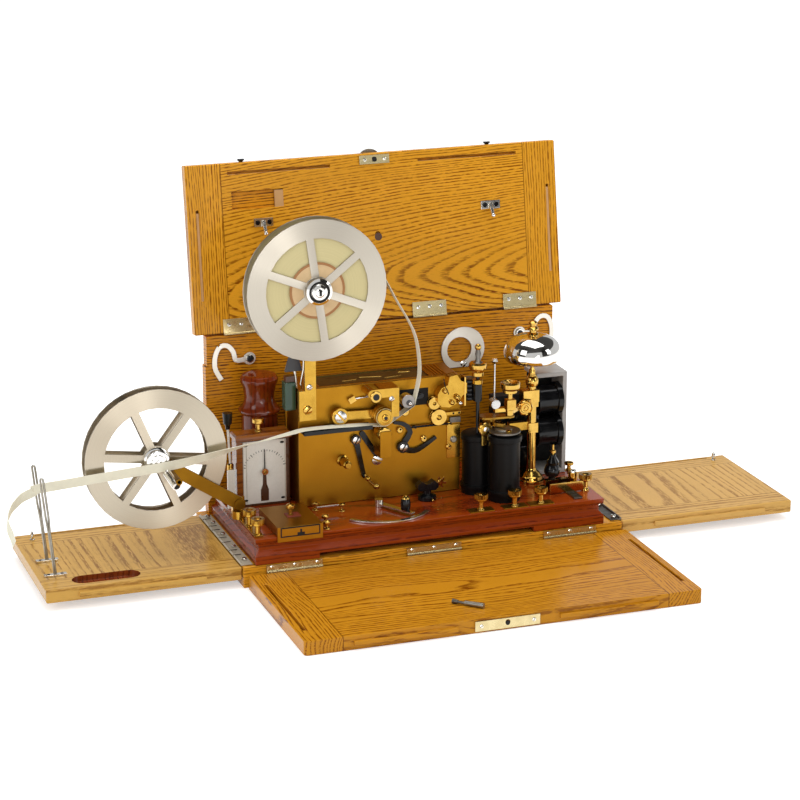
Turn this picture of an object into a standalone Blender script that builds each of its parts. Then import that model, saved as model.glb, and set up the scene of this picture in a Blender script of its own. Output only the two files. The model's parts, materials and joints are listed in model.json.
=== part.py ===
# Field telegraph set: an oak carrying case, opened flat, round a tape-writing telegraph.
# Metres, +Z up, +X to the right of someone who faces the set.
# The origin is the middle of the underside of the case's bottom board.

import math

import bmesh
import bpy
from mathutils import Matrix, Vector

# Fits shared by every piece
SEAT_GAP = 0.0003
RUNNING_GAP = 0.0004
CUT_OVERRUN = 0.002
WELD = 0.000002
SMOOTH_ANGLE = math.radians(32)
FINE_SIDES = 42
ROUND_SIDES = 20
SMALL_SIDES = 12
STUD_SIDES = 8

# Bottom board
BOARD_WIDTH = 0.400
BOARD_DEPTH = 0.1735
BOARD_FRONT = -0.080
BOARD_THICK = 0.0215
BOARD_CHAMFER = 0.0008

# Back wall
WALL_WIDTH = 0.379
WALL_SHIFT = -0.0005
WALL_THICK = 0.013
WALL_HEIGHT = 0.1875
WALL_STEP = 0.0015
WALL_STEP_HEIGHT = 0.031

# Lid, drawn upright and leant back about its hinge pins
LID_WIDTH = 0.397
LID_SHIFT = -0.0013
LID_HEIGHT = 0.170
LID_THICK = 0.013
LID_CHAMFER = 0.001
LID_LEAN = math.radians(9.1)
LID_FACE_SET_BACK = 0.0017
LID_SLOT_INSET = 0.0103
LID_SLOT_WIDTH = 0.003
LID_SLOT_DEPTH = 0.006
LID_SIDE_SLOT_SHARES = (0.20, 0.735)
LID_TOP_SLOT_SHARES = (0.237, 0.781)
LID_POCKET_WIDTH = 0.054
LID_POCKET_HEIGHT = 0.018
LID_POCKET_DEPTH = 0.004
LID_POCKET_SHARES = (0.185, 0.776)
LID_HOLE_RADIUS = 0.003
LID_HOLE_HEIGHT_SHARE = 0.512

# Lid hinges
LID_PIN_RADIUS = 0.0014
LID_LEAF_WIDTH = 0.037
LID_LEAF_HEIGHT = 0.015
LID_LEAF_THICK = 0.0012
LID_HINGE_SHARES = (-0.759, -0.245, 0.258, 0.762)
STRIKE_WIDTH = 0.032
STRIKE_HEIGHT = 0.009
STRIKE_THICK = 0.001
STRIKE_HOLE = 0.0045
STRIKE_TOP_INSET = 0.002

# Front flap
FRONT_FLAP_WIDTH = 0.3986
FRONT_FLAP_SHIFT = 0.0033
FRONT_FLAP_LENGTH = 0.1797
FRONT_FLAP_THICK = 0.014
FRONT_FLAP_GAP = 0.0033
FRONT_FLAP_CORNER = 0.004
FLAP_TONGUE_PROUD = 0.003
FLAP_TONGUE_THICK = 0.0045
FRONT_TONGUE_SHARES = (0.256, 0.765)
FRONT_SLOT_INSET = 0.0085
FRONT_SLOT_SHARES = (0.155, 0.845)

# Front hinges, on the upright front edge of the board
FRONT_PIN_RADIUS = 0.0013
FRONT_PIN_OUT = 0.0017
FRONT_PIN_HEIGHT = 0.0147
FRONT_LEAF_WIDTH = 0.057
FRONT_LEAF_THICK = 0.0012
FRONT_LEAF_TOP_INSET = 0.0003
FRONT_HINGE_SHARES = (-0.7425, -0.0185, 0.71)
LOCK_WIDTH = 0.065
LOCK_SHIFT = 0.0015
LOCK_HEIGHT = 0.010
LOCK_LIFT = 0.002
LOCK_THICK = 0.001
LOCK_HOLE_RADIUS = 0.0025

# Side flaps
SIDE_FLAP_LENGTH = 0.1925
SIDE_FLAP_DEPTH = 0.161
SIDE_FLAP_THICK = 0.0133
SIDE_FLAP_GAP = 0.0008
SIDE_FLAP_SET_BACK = 0.002
SIDE_FLAP_CHAMFER = 0.001
SIDE_TONGUE_SHARES = (0.187, 0.835)
SIDE_SLOT_INSET = 0.0045
SIDE_SLOT_SHARES = (0.235, 0.885)
SCOOP_WIDTH = 0.021
SCOOP_DEPTH = 0.006
SCOOP_SHARES = (0.50, 0.848)
SCOOP_ACROSS_SHARE = 0.121
SIDE_PIN_RADIUS = 0.0012
SIDE_PIN_OUT = 0.0004
SIDE_LEAF_WIDTH = 0.011
SIDE_LEAF_THICK = 0.0010
SIDE_LEAF_SHARES = (0.03, 0.90)

# Tape guides that stand on the left flap
GUIDE_PLATE_LENGTH = 0.022
GUIDE_PLATE_WIDTH = 0.005
GUIDE_PLATE_THICK = 0.0015
GUIDE_ROD_RADIUS = 0.0016
GUIDE_ROD_HEIGHT = 0.0995
GUIDE_ROD_TILT = 0.008
GUIDE_PLACE_SHARES = ((0.907, 0.484), (0.912, 0.224))

# Lid hooks on the back wall, drawn round the left one's pivot
HOOK_THICK = 0.0016
HOOK_WIDTH = 0.005
HOOK_EYE_RADIUS = 0.0065
HOOK_REACH = 0.0366
HOOK_RISE = 0.016
HOOK_SCREW_RADIUS = 0.0035
HOOK_HEIGHT = 0.162
HOOK_PLACE_SHARES = (-0.759, 0.791)
HOOK_PATH_SHARES = (
    (0.00, 0.00), (-0.34, -0.07), (-0.42, 0.10), (-0.46, 0.50), (-0.58, 0.88), (-0.72, 1.00),
    (-0.87, 0.86), (-0.97, 0.40), (-1.00, -0.10), (-0.97, -0.60), (-0.81, -1.25),
)

# Mahogany instrument base
BASE_SIDE_CLEARANCE = 0.0165
BASE_WIDTH = BOARD_WIDTH - 2 * BASE_SIDE_CLEARANCE
BASE_DEPTH = 0.160
BASE_HEIGHT = 0.0267
BASE_SHIFT = -0.004
BASE_COVE = 0.004
BASE_TIER_SHARES = ((0.0, 0.0), (0.345, 0.0), (0.495, 1.0), (0.74, 1.0), (0.81, 0.12), (1.0, 0.0))
BASE_RELIEF_HEIGHT = 0.0055
BASE_RELIEF_DEPTH = 0.012
BASE_RELIEF_SHARES = (0.178, 0.792)

# Where each instrument stands, as shares of the base's width and depth
PLACE_SHARES = {
    "movement": (0.1866, 0.4750),
    "takeup": (0.0068, 0.4125),
    "takeup_terminal_rear": (0.0150, 0.2375),
    "takeup_terminal_front": (0.0150, 0.0625),
    "coil_right": (0.7398, 0.2125),
    "coil_left": (0.6921, 0.4062),
    "pillar": (0.8690, 0.4938),
    "relay": (0.9427, 0.6750),
    "galvanometer": (0.1008, 0.5938),
    "handset": (0.1253, 0.8500),
    "arrester": (0.1229, 0.1875),
    "switch": (0.3954, 0.3425),
    "plug": (0.5381, 0.3625),
    "clapper": (0.7580, 0.5000),
    "key": (0.9510, 0.2500),
    "key_plate": (0.9310, 0.1250),
}
TERMINAL_PLACE_SHARES = ((0.6444, 0.0500), (0.7428, 0.0500), (0.8193, 0.0500), (0.9793, 0.1950))
STUD_PLACE_SHARES = ((0.2147, 0.1513), (0.2049, 0.0475), (0.2872, 0.3281), (0.2215, 0.4012))

# Turned terminals and studs
TERMINAL_RADIUS = 0.0065
TERMINAL_HEIGHT = 0.0190
TERMINAL_SHARES = (
    (0.62, 0.0), (0.62, 0.10), (0.42, 0.16), (0.42, 0.52), (1.0, 0.62), (1.0, 0.88), (0.40, 1.0),
)
STUD_SHARES = ((0.9, 0.0), (0.9, 0.12), (0.4, 0.25), (0.4, 0.55), (1.0, 0.62), (1.0, 0.85), (0.4, 1.0))
STUD_RADIUS = 0.0038
STUD_HEIGHT = 0.0095

# Clockwork movement case
MOVEMENT_WIDTH = 0.171
MOVEMENT_DEPTH = 0.047
MOVEMENT_HEIGHT = 0.1217
MOVEMENT_PLATE = 0.003
MOVEMENT_SIDE_INSET = 0.0014
MOVEMENT_WELL_DEPTH = 0.012
MOVEMENT_WELL_RIM = 0.004
MOVEMENT_WELL_SHARES = (0.13, 0.83)
BEARING_WIDTH = 0.012
BEARING_THICK = 0.0017
BEARING_TOP = 0.0035
BEARING_DROP = 0.024
BEARING_FOOT = 0.006

# Reels
REEL_RADIUS = 0.0710
REEL_RIM = 0.0190
REEL_FLANGE_THICK = 0.0015
REEL_SPOKES = 6
REEL_SPOKE_WIDTH = 0.008
REEL_SPOKE_ROOT = 0.014
REEL_NUT_RADIUS = 0.013
REEL_NUT_LENGTH = 0.004
REEL_CONE_RADIUS = 0.008
REEL_CONE_LENGTH = 0.004
REEL_WINDOW_STEPS = 5
REEL_AXLE_RADIUS = 0.003
REEL_BORE_DEPTH = 0.008
SUPPLY_ACROSS = 0.0144
SUPPLY_LIFT = 0.2275
SUPPLY_FRONT = 0.0205
SUPPLY_WIDTH = 0.0156
SUPPLY_CORE_RADIUS = 0.0262
SUPPLY_SPOKE_TURN = math.radians(38)
ROLL_RADIUS = 0.064
ROLL_BORE_RADIUS = 0.0266
ROLL_WIDTH = 0.012
TAKEUP_OUT = 0.0819
TAKEUP_RISE = 0.0536
TAKEUP_WIDTH = 0.0145
TAKEUP_CORE_RADIUS = 0.0095
TAKEUP_SPOKE_TURN = math.radians(-7.5)

# Upright strap that carries the supply reel
STRAP_THICK = 0.003
STRAP_LOWER_WIDTH = 0.0175
STRAP_UPPER_WIDTH = 0.0115
STRAP_SHOULDER = 0.031
STRAP_BOTTOM_SHARE = 0.745
STRAP_HEAD_RADIUS = 0.0085

# Take-up arm and its post
ARM_WIDTH = 0.013
ARM_THICK = 0.003
ARM_HUB_RADIUS = 0.010
ARM_HUB_LENGTH = 0.0025
ARM_SCREW_RADIUS = 0.0055
ARM_SCREW_LENGTH = 0.0025
ARM_PIN_RADIUS = 0.0032
ARM_PIN_BORE = 0.002
ARM_PIN_LENGTH = 0.031
ARM_PIN_SHARE = 0.80
ARM_PIN_DROP = 0.003
TAKEUP_POST_HEIGHT = 0.0161
TAKEUP_POST_RADIUS = 0.0065
TAKEUP_LUG_WIDTH = 0.012
TAKEUP_LUG_DEPTH = 0.006
TAKEUP_STRIP_THICK = 0.0015
TAKEUP_STRIP_WIDTH = 0.009

# Paper tape
TAPE_WIDTH = 0.010
TAPE_THICK = 0.0005
TAPE_BACK = 0.013
TAPE_BACK_AT_REEL = 0.018
TAPE_START_ANGLE = math.radians(27)
TAPE_FALL_SHARES = ((0.269, 0.143), (0.568, 0.309), (0.967, 0.521), (1.104, 0.692), (1.116, 0.851))
TAPE_RUN_SHARES = ((0.0639, 0.082), (0.2503, 0.332), (0.4449, 0.630), (0.6283, 0.781), (1.0, 1.0))
TAPE_RUN_DROP = 0.0292
TAPE_LIFT_OFF_ROLLER = 0.0012
TAPE_ABOVE_CHANNEL = 0.0035
TAPE_SETTLE_SHARE = 0.4
TAPE_TAIL_OUT = 0.0385
TAPE_TAIL_FORWARD = 0.0477
TAPE_TAIL_DROP = 0.0358
TAPE_TAIL_SHARES = (
    (0.151, 0.004, 0.075), (0.449, 0.036, 0.176), (0.673, 0.140, 0.304), (0.816, 0.266, 0.391),
    (0.966, 0.497, 0.542), (1.0, 0.686, 0.676), (0.966, 0.853, 0.844), (0.948, 1.0, 1.0),
)
TAPE_TWIST_RUN = 0.150
TAPE_STEPS = 3
TAPE_TWIST = math.radians(82)

# Writer parts on the front plate, as shares of the movement's width and height
FACE_PLACE_SHARES = {
    "feed": (0.4889, 0.7518),
    "pressure": (0.2380, 0.7658),
    "pulley": (0.6374, 0.8611),
    "channel": (0.2076, 0.6713),
    "start": (0.3444, 0.5382),
    "winding": (0.2632, 0.3714),
    "writing": (0.6357, 0.4322),
    "bracket": (0.5731, 0.9990),
    "ink": (0.8360, 0.7540),
}
WRITER_BACK = 0.007
FEED_RADIUS = 0.0093
FEED_WIDTH = 0.012
FEED_HUB_RADIUS = 0.006
FEED_HUB_LENGTH = 0.0025
LOWER_RADIUS = 0.0072
LOWER_SHAFT_RADIUS = 0.002
NIP_GAP = 0.0011
PULLEY_RADIUS = 0.007
PULLEY_WIDTH = 0.010
PULLEY_GROOVE = 0.0008
PRESSURE_THICK = 0.003
PRESSURE_WIDTH = 0.0085
PRESSURE_BOSS_RADIUS = 0.0075
PRESSURE_SCREW_RADIUS = 0.0053
PRESSURE_AXLE_RADIUS = 0.0022
PRESSURE_AXLE_LENGTH = 0.006
CHANNEL_LENGTH = 0.071
CHANNEL_THICK = 0.0015
CHANNEL_LIP = 0.0025
CHANNEL_LIP_THICK = 0.001
CHANNEL_CLEARANCE = 0.0004
CHANNEL_STAY_WIDTH = 0.016
BRACKET_BAR_WIDTH = 0.028
BRACKET_BAR_HEIGHT = 0.009
BRACKET_LEG_WIDTH = 0.008
BRACKET_LEG_DROP = 0.030
BRACKET_THICK = 0.0018
BRACKET_REACH = 0.022
BRACKET_FLANGE_WIDTH = 0.019
BRACKET_BOSS_RADIUS = 0.0045
START_THICK = 0.003
START_LENGTH = 0.0385
START_OUT = 0.0083
START_WIDTH = 0.0058
START_TIP_WIDTH = 0.0040
START_BOSS_RADIUS = 0.0052
START_KNOB_RADIUS = 0.0030
START_KNOB_OUT = 0.0102
START_KNOB_DROP = 0.0103
START_KNOB_FORWARD = 0.006
WINDING_RADIUS = 0.006
WINDING_LENGTH = 0.021
WINDING_SHARES = ((1.0, 0.0), (1.0, 0.12), (0.72, 0.16), (0.72, 0.82), (0.50, 0.86), (0.50, 1.0))
WRITING_THICK = 0.0025
WRITING_REACH = 0.0357
WRITING_RISE = 0.0266
WRITING_WIDTH_SHARES = (0.55, 0.80, 1.0, 1.25, 1.0, 0.80, 0.60)
WRITING_WIDTH = 0.0055
WRITING_HUB_RADIUS = 0.0062
WRITING_PATH_SHARES = (
    (-0.27, 1.00), (0.05, 0.88), (0.22, 0.55), (0.00, 0.00), (0.35, -0.20), (0.68, -0.02), (1.00, 0.25),
)

# Ink well at the right of the movement
INK_WIDTH = 0.031
INK_HEIGHT = 0.0335
INK_DEPTH = 0.011
INK_DRUM_RADIUS = 0.008
INK_DRUM_HEIGHT = 0.022
INK_OUTLINE_SHARES = (
    (0.00, 0.20), (0.12, 0.04), (0.40, 0.00), (0.70, 0.12), (0.86, 0.34), (1.00, 0.40), (1.00, 0.72),
    (0.80, 0.80), (0.66, 1.00), (0.40, 0.96), (0.34, 0.70), (0.12, 0.62), (0.00, 0.44),
)
INK_DRUM_RIBS = 5
INK_DRUM_RIB_SHARE = 0.88

# Electromagnets
COIL_RIGHT_RADIUS = 0.0175
COIL_RIGHT_HEIGHT = 0.0715
COIL_LEFT_RADIUS = 0.017
COIL_LEFT_HEIGHT = 0.0655
COIL_SHARES = (
    (0.94, 0.0), (0.94, 0.06), (1.0, 0.10), (1.0, 0.15), (0.90, 0.16), (0.90, 0.86), (1.0, 0.87), (1.0, 0.94),
    (0.80, 0.97), (0.36, 1.0),
)
ADJUSTER_PLACE_SHARES = (-0.15, -0.42)
ADJUSTER_LENGTH = 0.0735
ADJUSTER_NUT_RADIUS = 0.0062
ADJUSTER_NUT_SHARES = ((0.0, 0.0), (0.30, 0.78), (0.30, 0.82), (1.0, 0.82), (1.0, 0.87), (0.30, 0.87))
ADJUSTER_TOP_SHARES = ((0.30, 0.91), (1.0, 0.91), (1.0, 0.97), (0.30, 0.97), (0.30, 1.0), (0.0, 1.0))

# Armature that rocks above the coils
ARMATURE_HALF_LENGTH = 0.017
ARMATURE_WIDTH = 0.008
ARMATURE_THICK = 0.0035
ARMATURE_LIFT = 0.0035
ARMATURE_TURN = math.radians(-60)
ARMATURE_WIDTH_SHARES = (0.4, 0.9, 1.0, 0.9, 0.4)
ARMATURE_NUT_RADIUS = 0.0045
ARMATURE_NUT_HEIGHT = 0.005

# Contact pillar
PILLAR_RADIUS = 0.0038
PILLAR_HEIGHT = 0.1025
PILLAR_FLANGE_RADIUS = 0.0115
PILLAR_FLANGE_HEIGHT = 0.003
PILLAR_BALL_RADIUS = 0.0060
PILLAR_BALL_SEAT_SHARE = 0.7
CLAMP_SIZE = 0.0106
CLAMP_HEIGHT_LOWER = 0.0102
CLAMP_HEIGHT_UPPER = 0.0140
CLAMP_LIFT_SHARES = (0.560, 0.846)
CONTACT_ARM_OUT = 0.0381
CONTACT_ARM_FORWARD = 0.034
CONTACT_ARM_WIDTH = 0.005
CONTACT_ARM_THICK = 0.004
CONTACT_SCREW_RADIUS = 0.002
CONTACT_SCREW_DROP = 0.006
CONTACT_SCREW_RISE = 0.0295
CONTACT_NUT_RADIUS = 0.0075
CONTACT_NUT_HEIGHT = 0.004

# Bell
BELL_POST_RADIUS = 0.0034
BELL_POST_HEIGHT = 0.0336
BELL_POST_SHARES = ((0.7, 0.0), (1.0, 0.05), (1.0, 0.14), (0.55, 0.22), (0.55, 1.0))
GONG_RADIUS = 0.029
GONG_HEIGHT = 0.0196
GONG_WALL = 0.0020
GONG_CAP_RADIUS = 0.0053
GONG_STEM_HEIGHT = 0.0212
GONG_SHARES = (
    (1.0, 0.0), (1.0, 0.24), (0.965, 0.46), (0.86, 0.70), (0.68, 0.88), (0.40, 0.98), (0.10, 1.0),
)
GONG_STEM_SHARES = (
    (0.30, 0.02), (0.30, 0.12), (1.0, 0.18), (1.0, 0.27), (0.30, 0.34), (0.42, 0.50), (0.30, 0.66), (
        0.92, 0.74
    ),
    (0.92, 0.94),
)
CLAPPER_ARM_LIFT = 0.077
CLAPPER_ARM_THICK = 0.004
CLAPPER_ARM_WIDTH = 0.006
CLAPPER_HUB_RADIUS = 0.005
CLAPPER_HUB_LENGTH = 0.010
CLAPPER_ROD_RADIUS = 0.001
CLAPPER_ROD_LENGTH = 0.045
CLAPPER_BALL_RADIUS = 0.0035

# Ring plate on the back wall
RING_RADIUS = 0.024
RING_BORE = 0.0135
RING_BORE_SHIFT = 0.004
RING_THICK = 0.002
RING_FLAT = 0.019
RING_ACROSS_SHARE = 0.457
RING_LIFT = 0.1499

# Relay
RELAY_WIDTH = 0.034
RELAY_DEPTH = 0.034
RELAY_HEIGHT = 0.109
RELAY_IRON = 0.0045
RELAY_COIL_RADIUS = 0.0169
RELAY_COIL_LENGTH = 0.0272
RELAY_COIL_FORWARD = 0.0060
RELAY_COIL_LIFT_SHARES = (0.405, 0.7205)
RELAY_YOKE_WIDTH = 0.012
RELAY_YOKE_THICK = 0.003
RELAY_SHARES = ((1.0, 0.0), (1.0, 0.07), (0.90, 0.09), (0.90, 0.78), (1.0, 0.80), (1.0, 1.0))

# Galvanometer
GALVO_WIDTH = 0.055
GALVO_DEPTH = 0.0165
GALVO_HEIGHT = 0.0697
GALVO_CAP_HEIGHT = 0.006
GALVO_CAP_PROUD = 0.0035
GALVO_CAP_SLOPE = 0.002
GALVO_DIAL_WIDTH = 0.045
GALVO_DIAL_HEIGHT = 0.0655
GALVO_DIAL_SHIFT = 0.0015
GALVO_DIAL_RECESS = 0.001
GALVO_KNOB_RADIUS = 0.0062
GALVO_KNOB_HEIGHT = 0.015
GALVO_PIVOT_LIFT = 0.0352
GALVO_BOTTLE_WIDTH = 0.0085
GALVO_BOTTLE_HEIGHT = 0.031
GALVO_BOTTLE_PROUD = 0.0006
GALVO_BOTTLE_SHARES = (
    (-0.5, 0.0), (0.5, 0.0), (0.5, 0.38), (0.26, 0.56), (0.20, 1.0), (-0.20, 1.0), (-0.26, 0.56), (
        -0.5, 0.38
    ),
)
NEEDLE_LENGTH = 0.023
NEEDLE_WIDTH = 0.0012
NEEDLE_HUB_RADIUS = 0.003
NEEDLE_THICK = 0.0008

# Telephone receiver that stands behind the galvanometer
HANDSET_RADIUS = 0.0213
HANDSET_HEIGHT = 0.1255
HANDSET_SHARES = (
    (0.87, 0.0), (0.87, 0.67), (1.0, 0.695), (1.0, 0.71), (0.88, 0.725), (0.74, 0.77), (0.71, 0.82),
    (0.80, 0.90), (0.91, 0.94), (0.91, 0.965), (0.80, 0.99), (0.55, 1.0),
)

# Lightning arrester box
ARRESTER_WIDTH = 0.0462
ARRESTER_DEPTH = 0.0615
ARRESTER_HEIGHT = 0.0097
ARRESTER_PLATE_DROP = 0.0051
ARRESTER_PLATE_THICK = 0.0013
ARRESTER_SLOT_SHARES = (0.09, 0.91)
ARRESTER_SLOT_HEIGHT = 0.0065
ARRESTER_SLOT_DEPTH = 0.0022
ARRESTER_KNOB_RADIUS = 0.0045
ARRESTER_KNOB_HEIGHT = 0.0125

# Rotary switch
SWITCH_ARC_RADIUS = 0.0515
SWITCH_ARC_WIDTH = 0.005
SWITCH_ARC_THICK = 0.0015
SWITCH_ARC_START = math.radians(-142)
SWITCH_ARC_END = math.radians(-39)
SWITCH_ARC_STEPS = 14
SWITCH_PIVOT_RADIUS = 0.0045
SWITCH_ARM_THICK = 0.0016
SWITCH_ARM_WIDTH = 0.007
SWITCH_ARM_LENGTH = 0.046
SWITCH_ARM_ANGLE = math.radians(-61.6)
SWITCH_HANDLE_OUT = 0.036
SWITCH_HANDLE_RADIUS = 0.0052
SWITCH_HANDLE_HEIGHT = 0.0165
SWITCH_HANDLE_SHARES = ((0.6, 0.0), (0.9, 0.12), (1.0, 0.45), (0.85, 0.80), (0.55, 0.93), (0.30, 1.0))
SWITCH_NUT_HEIGHT = 0.005

# Plug switch
PLUG_WIDTH = 0.022
PLUG_DEPTH = 0.009
PLUG_FOOT_RADIUS = 0.0095
PLUG_FOOT_HEIGHT = 0.004
PLUG_NECK_RADIUS = 0.0045
PLUG_HEIGHT = 0.020
PLUG_WING_SHARES = (
    (-0.5, 0.62), (-0.36, 0.50), (0.36, 0.50), (0.5, 0.62), (0.5, 0.82), (0.30, 1.0), (0.08, 0.84),
    (-0.08, 0.84), (-0.30, 1.0), (-0.5, 0.82),
)

# Signalling key
KEY_PILLAR_RADIUS = 0.0045
KEY_PILLAR_HEIGHT = 0.0172
KEY_EAR_LENGTH = 0.010
KEY_SCREW_HEIGHT = 0.009
KEY_SCREW_RADIUS = 0.0048
KEY_LEVER_LENGTH = 0.026
KEY_LEVER_WIDTH = 0.006
KEY_LEVER_HEIGHT = 0.008
KEY_LEVER_LIFT = 0.0045
KEY_KNOB_RADIUS = 0.008
KEY_KNOB_HEIGHT = 0.018
KEY_KNOB_SHARES = (
    (0.45, 0.0), (0.45, 0.15), (0.85, 0.25), (1.0, 0.42), (1.0, 0.62), (0.80, 0.86), (0.40, 1.0),
)
KEY_PLATE_WIDTH = 0.009
KEY_PLATE_LENGTH = 0.026
KEY_PLATE_THICK = 0.0017
KEY_PLATE_SLOT = 0.0022

# Levels and places worked out from the sizes above
BOARD_BACK = BOARD_FRONT + BOARD_DEPTH
WALL_FRONT = BOARD_BACK - WALL_THICK
WALL_BOTTOM = BOARD_THICK + SEAT_GAP
WALL_TOP = WALL_BOTTOM + WALL_HEIGHT
BASE_BOTTOM = BOARD_THICK + SEAT_GAP
BASE_TOP = BASE_BOTTOM + BASE_HEIGHT
DECK = BASE_TOP + SEAT_GAP
BASE_LEFT = BASE_SHIFT - BASE_WIDTH / 2
LID_PIN_Y = WALL_FRONT - LID_PIN_RADIUS
LID_PIN_Z = WALL_TOP + LID_PIN_RADIUS + RUNNING_GAP
FRONT_PIN_Y = BOARD_FRONT - FRONT_PIN_OUT
SIDE_PIN_X = BOARD_WIDTH / 2 + SIDE_PIN_OUT
SIDE_PIN_Z = BOARD_THICK + SEAT_GAP * 1.5 + SIDE_PIN_RADIUS
FLAP_FRONT = BOARD_FRONT + SIDE_FLAP_SET_BACK

PIVOTS = {}


def clear_scene():
    for old in list(bpy.data.objects):
        bpy.data.objects.remove(old, do_unlink=True)


def as_object(editor):
    """Turns a bmesh into a linked object whose faces point out."""
    bmesh.ops.recalc_face_normals(editor, faces=editor.faces)
    mesh = bpy.data.meshes.new("shape")
    editor.to_mesh(mesh)
    editor.free()
    body = bpy.data.objects.new("shape", mesh)
    bpy.context.scene.collection.objects.link(body)
    return body


def box(x, y, z, chamfer=0):
    """A block between two values on each axis, with its edges chamfered."""
    editor = bmesh.new()
    bmesh.ops.create_cube(editor, size=1)
    bmesh.ops.scale(editor, vec=(x[1] - x[0], y[1] - y[0], z[1] - z[0]), verts=editor.verts)
    middle = Vector((x[0] + x[1], y[0] + y[1], z[0] + z[1])) / 2
    bmesh.ops.translate(editor, vec=middle, verts=editor.verts)
    if chamfer:
        bmesh.ops.bevel(editor, geom=editor.edges[:], offset=chamfer, segments=1, affect="EDGES")
    return as_object(editor)


def prism(outline, low, high, along="Y"):
    """An outline in the plane square to an axis, extruded along that axis."""
    order = {"X": (2, 0, 1), "Y": (0, 2, 1), "Z": (0, 1, 2)}[along]
    editor = bmesh.new()
    corners = [editor.verts.new([(u, v, low)[i] for i in order]) for u, v in outline]
    made = bmesh.ops.extrude_face_region(editor, geom=[editor.faces.new(corners)])
    moved = [item for item in made["geom"] if isinstance(item, bmesh.types.BMVert)]
    bmesh.ops.translate(editor, vec=[(0, 0, high - low)[i] for i in order], verts=moved)
    return as_object(editor)


def turned(profile, centre, along="Z", sides=ROUND_SIDES, ring=False):
    """A profile of radius and height, spun round an axis through the centre."""
    editor = bmesh.new()
    points = [editor.verts.new((radius, 0, height)) for radius, height in profile]
    spans = list(zip(points, points[1:]))
    if ring:
        spans.append((points[-1], points[0]))
    edges = [editor.edges.new(span) for span in spans]
    bmesh.ops.spin(
        editor, geom=points + edges, cent=(0, 0, 0), axis=(0, 0, 1), angle=math.tau, steps=sides,
        use_merge=True
    )
    bmesh.ops.remove_doubles(editor, verts=editor.verts, dist=WELD)
    turn = {
        "X": Matrix.Rotation(math.pi / 2, 4, "Y"),
        "Y": Matrix.Rotation(-math.pi / 2, 4, "X"),
        "Z": Matrix.Identity(4),
    }[along]
    bmesh.ops.transform(editor, matrix=Matrix.Translation(centre) @ turn, verts=editor.verts)
    return as_object(editor)


def solid_profile(shares, radius, height):
    """Shares of a radius and a height as a profile closed on its axis at both ends."""
    points = [(share * radius, rise * height) for share, rise in shares]
    return [(0, points[0][1])] + points + [(0, points[-1][1])]


def drum(radius, length, centre, along="Z", sides=ROUND_SIDES):
    """A plain cylinder that starts at the centre and runs up its axis."""
    return turned([(0, 0), (radius, 0), (radius, length), (0, length)], centre, along, sides)


def rod(start, end, radius, sides=SMALL_SIDES, tip_radius=None):
    """A straight round bar between two points, which may taper."""
    span = Vector(end) - Vector(start)
    editor = bmesh.new()
    bmesh.ops.create_cone(
        editor, cap_ends=True, segments=sides, radius1=radius, depth=span.length,
        radius2=radius if tip_radius is None else tip_radius,
    )
    turn = Vector((0, 0, 1)).rotation_difference(span).to_matrix().to_4x4()
    middle = (Vector(start) + Vector(end)) / 2
    bmesh.ops.transform(editor, matrix=Matrix.Translation(middle) @ turn, verts=editor.verts)
    return as_object(editor)


def ball(centre, radius, sides=SMALL_SIDES):
    editor = bmesh.new()
    bmesh.ops.create_uvsphere(editor, u_segments=sides, v_segments=sides // 2, radius=radius)
    bmesh.ops.translate(editor, vec=centre, verts=editor.verts)
    return as_object(editor)


def tiers(levels):
    """A rectangular solid lofted through levels of height, width range and depth range."""
    editor = bmesh.new()
    rings = []
    for z, x, y in levels:
        corners = ((x[0], y[0]), (x[1], y[0]), (x[1], y[1]), (x[0], y[1]))
        rings.append([editor.verts.new((u, v, z)) for u, v in corners])
    editor.faces.new(rings[0])
    editor.faces.new(rings[-1])
    for lower, upper in zip(rings, rings[1:]):
        for i in range(4):
            j = (i + 1) % 4
            editor.faces.new((lower[i], lower[j], upper[j], upper[i]))
    return as_object(editor)


def stroke(path, widths):
    """The outline of a flat strip along a path, as wide at each point as its width says."""
    left = []
    right = []
    for i, (u, v) in enumerate(path):
        before = path[max(i - 1, 0)]
        after = path[min(i + 1, len(path) - 1)]
        run = Vector((after[0] - before[0], after[1] - before[1])).normalized()
        half = widths[i] / 2
        left.append((u - run.y * half, v + run.x * half))
        right.append((u + run.y * half, v - run.x * half))
    return left + right[::-1]


def link(start, end, start_width, end_width, steps=5):
    """The outline of a straight flat bar with rounded ends, which may taper."""
    heading = math.atan2(end[1] - start[1], end[0] - start[0])
    quarter = math.pi / 2
    outline = arc(start, start_width / 2, heading + quarter, heading + 3 * quarter, steps)
    return outline + arc(end, end_width / 2, heading - quarter, heading + quarter, steps)


def smooth(points, steps):
    """Points read from a smooth curve through the given ones."""
    points = [Vector(point) for point in points]
    ends = [2 * points[0] - points[1]] + points + [2 * points[-1] - points[-2]]
    made = []
    for a, b, c, d in zip(ends, ends[1:], ends[2:], ends[3:]):
        for step in range(steps):
            t = step / steps
            made.append(
                (2 * b + (c - a) * t + (2 * a - 5 * b + 4 * c - d) * t * t + (3 * b - a - 3 * c + d) * t ** 3) / 2
            )
    return made + [points[-1]]


def arc(centre, radius, start, end, steps):
    """Points along an arc, from one angle to another."""
    angles = [start + (end - start) * step / steps for step in range(steps + 1)]
    return [(centre[0] + radius * math.cos(a), centre[1] + radius * math.sin(a)) for a in angles]


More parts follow.
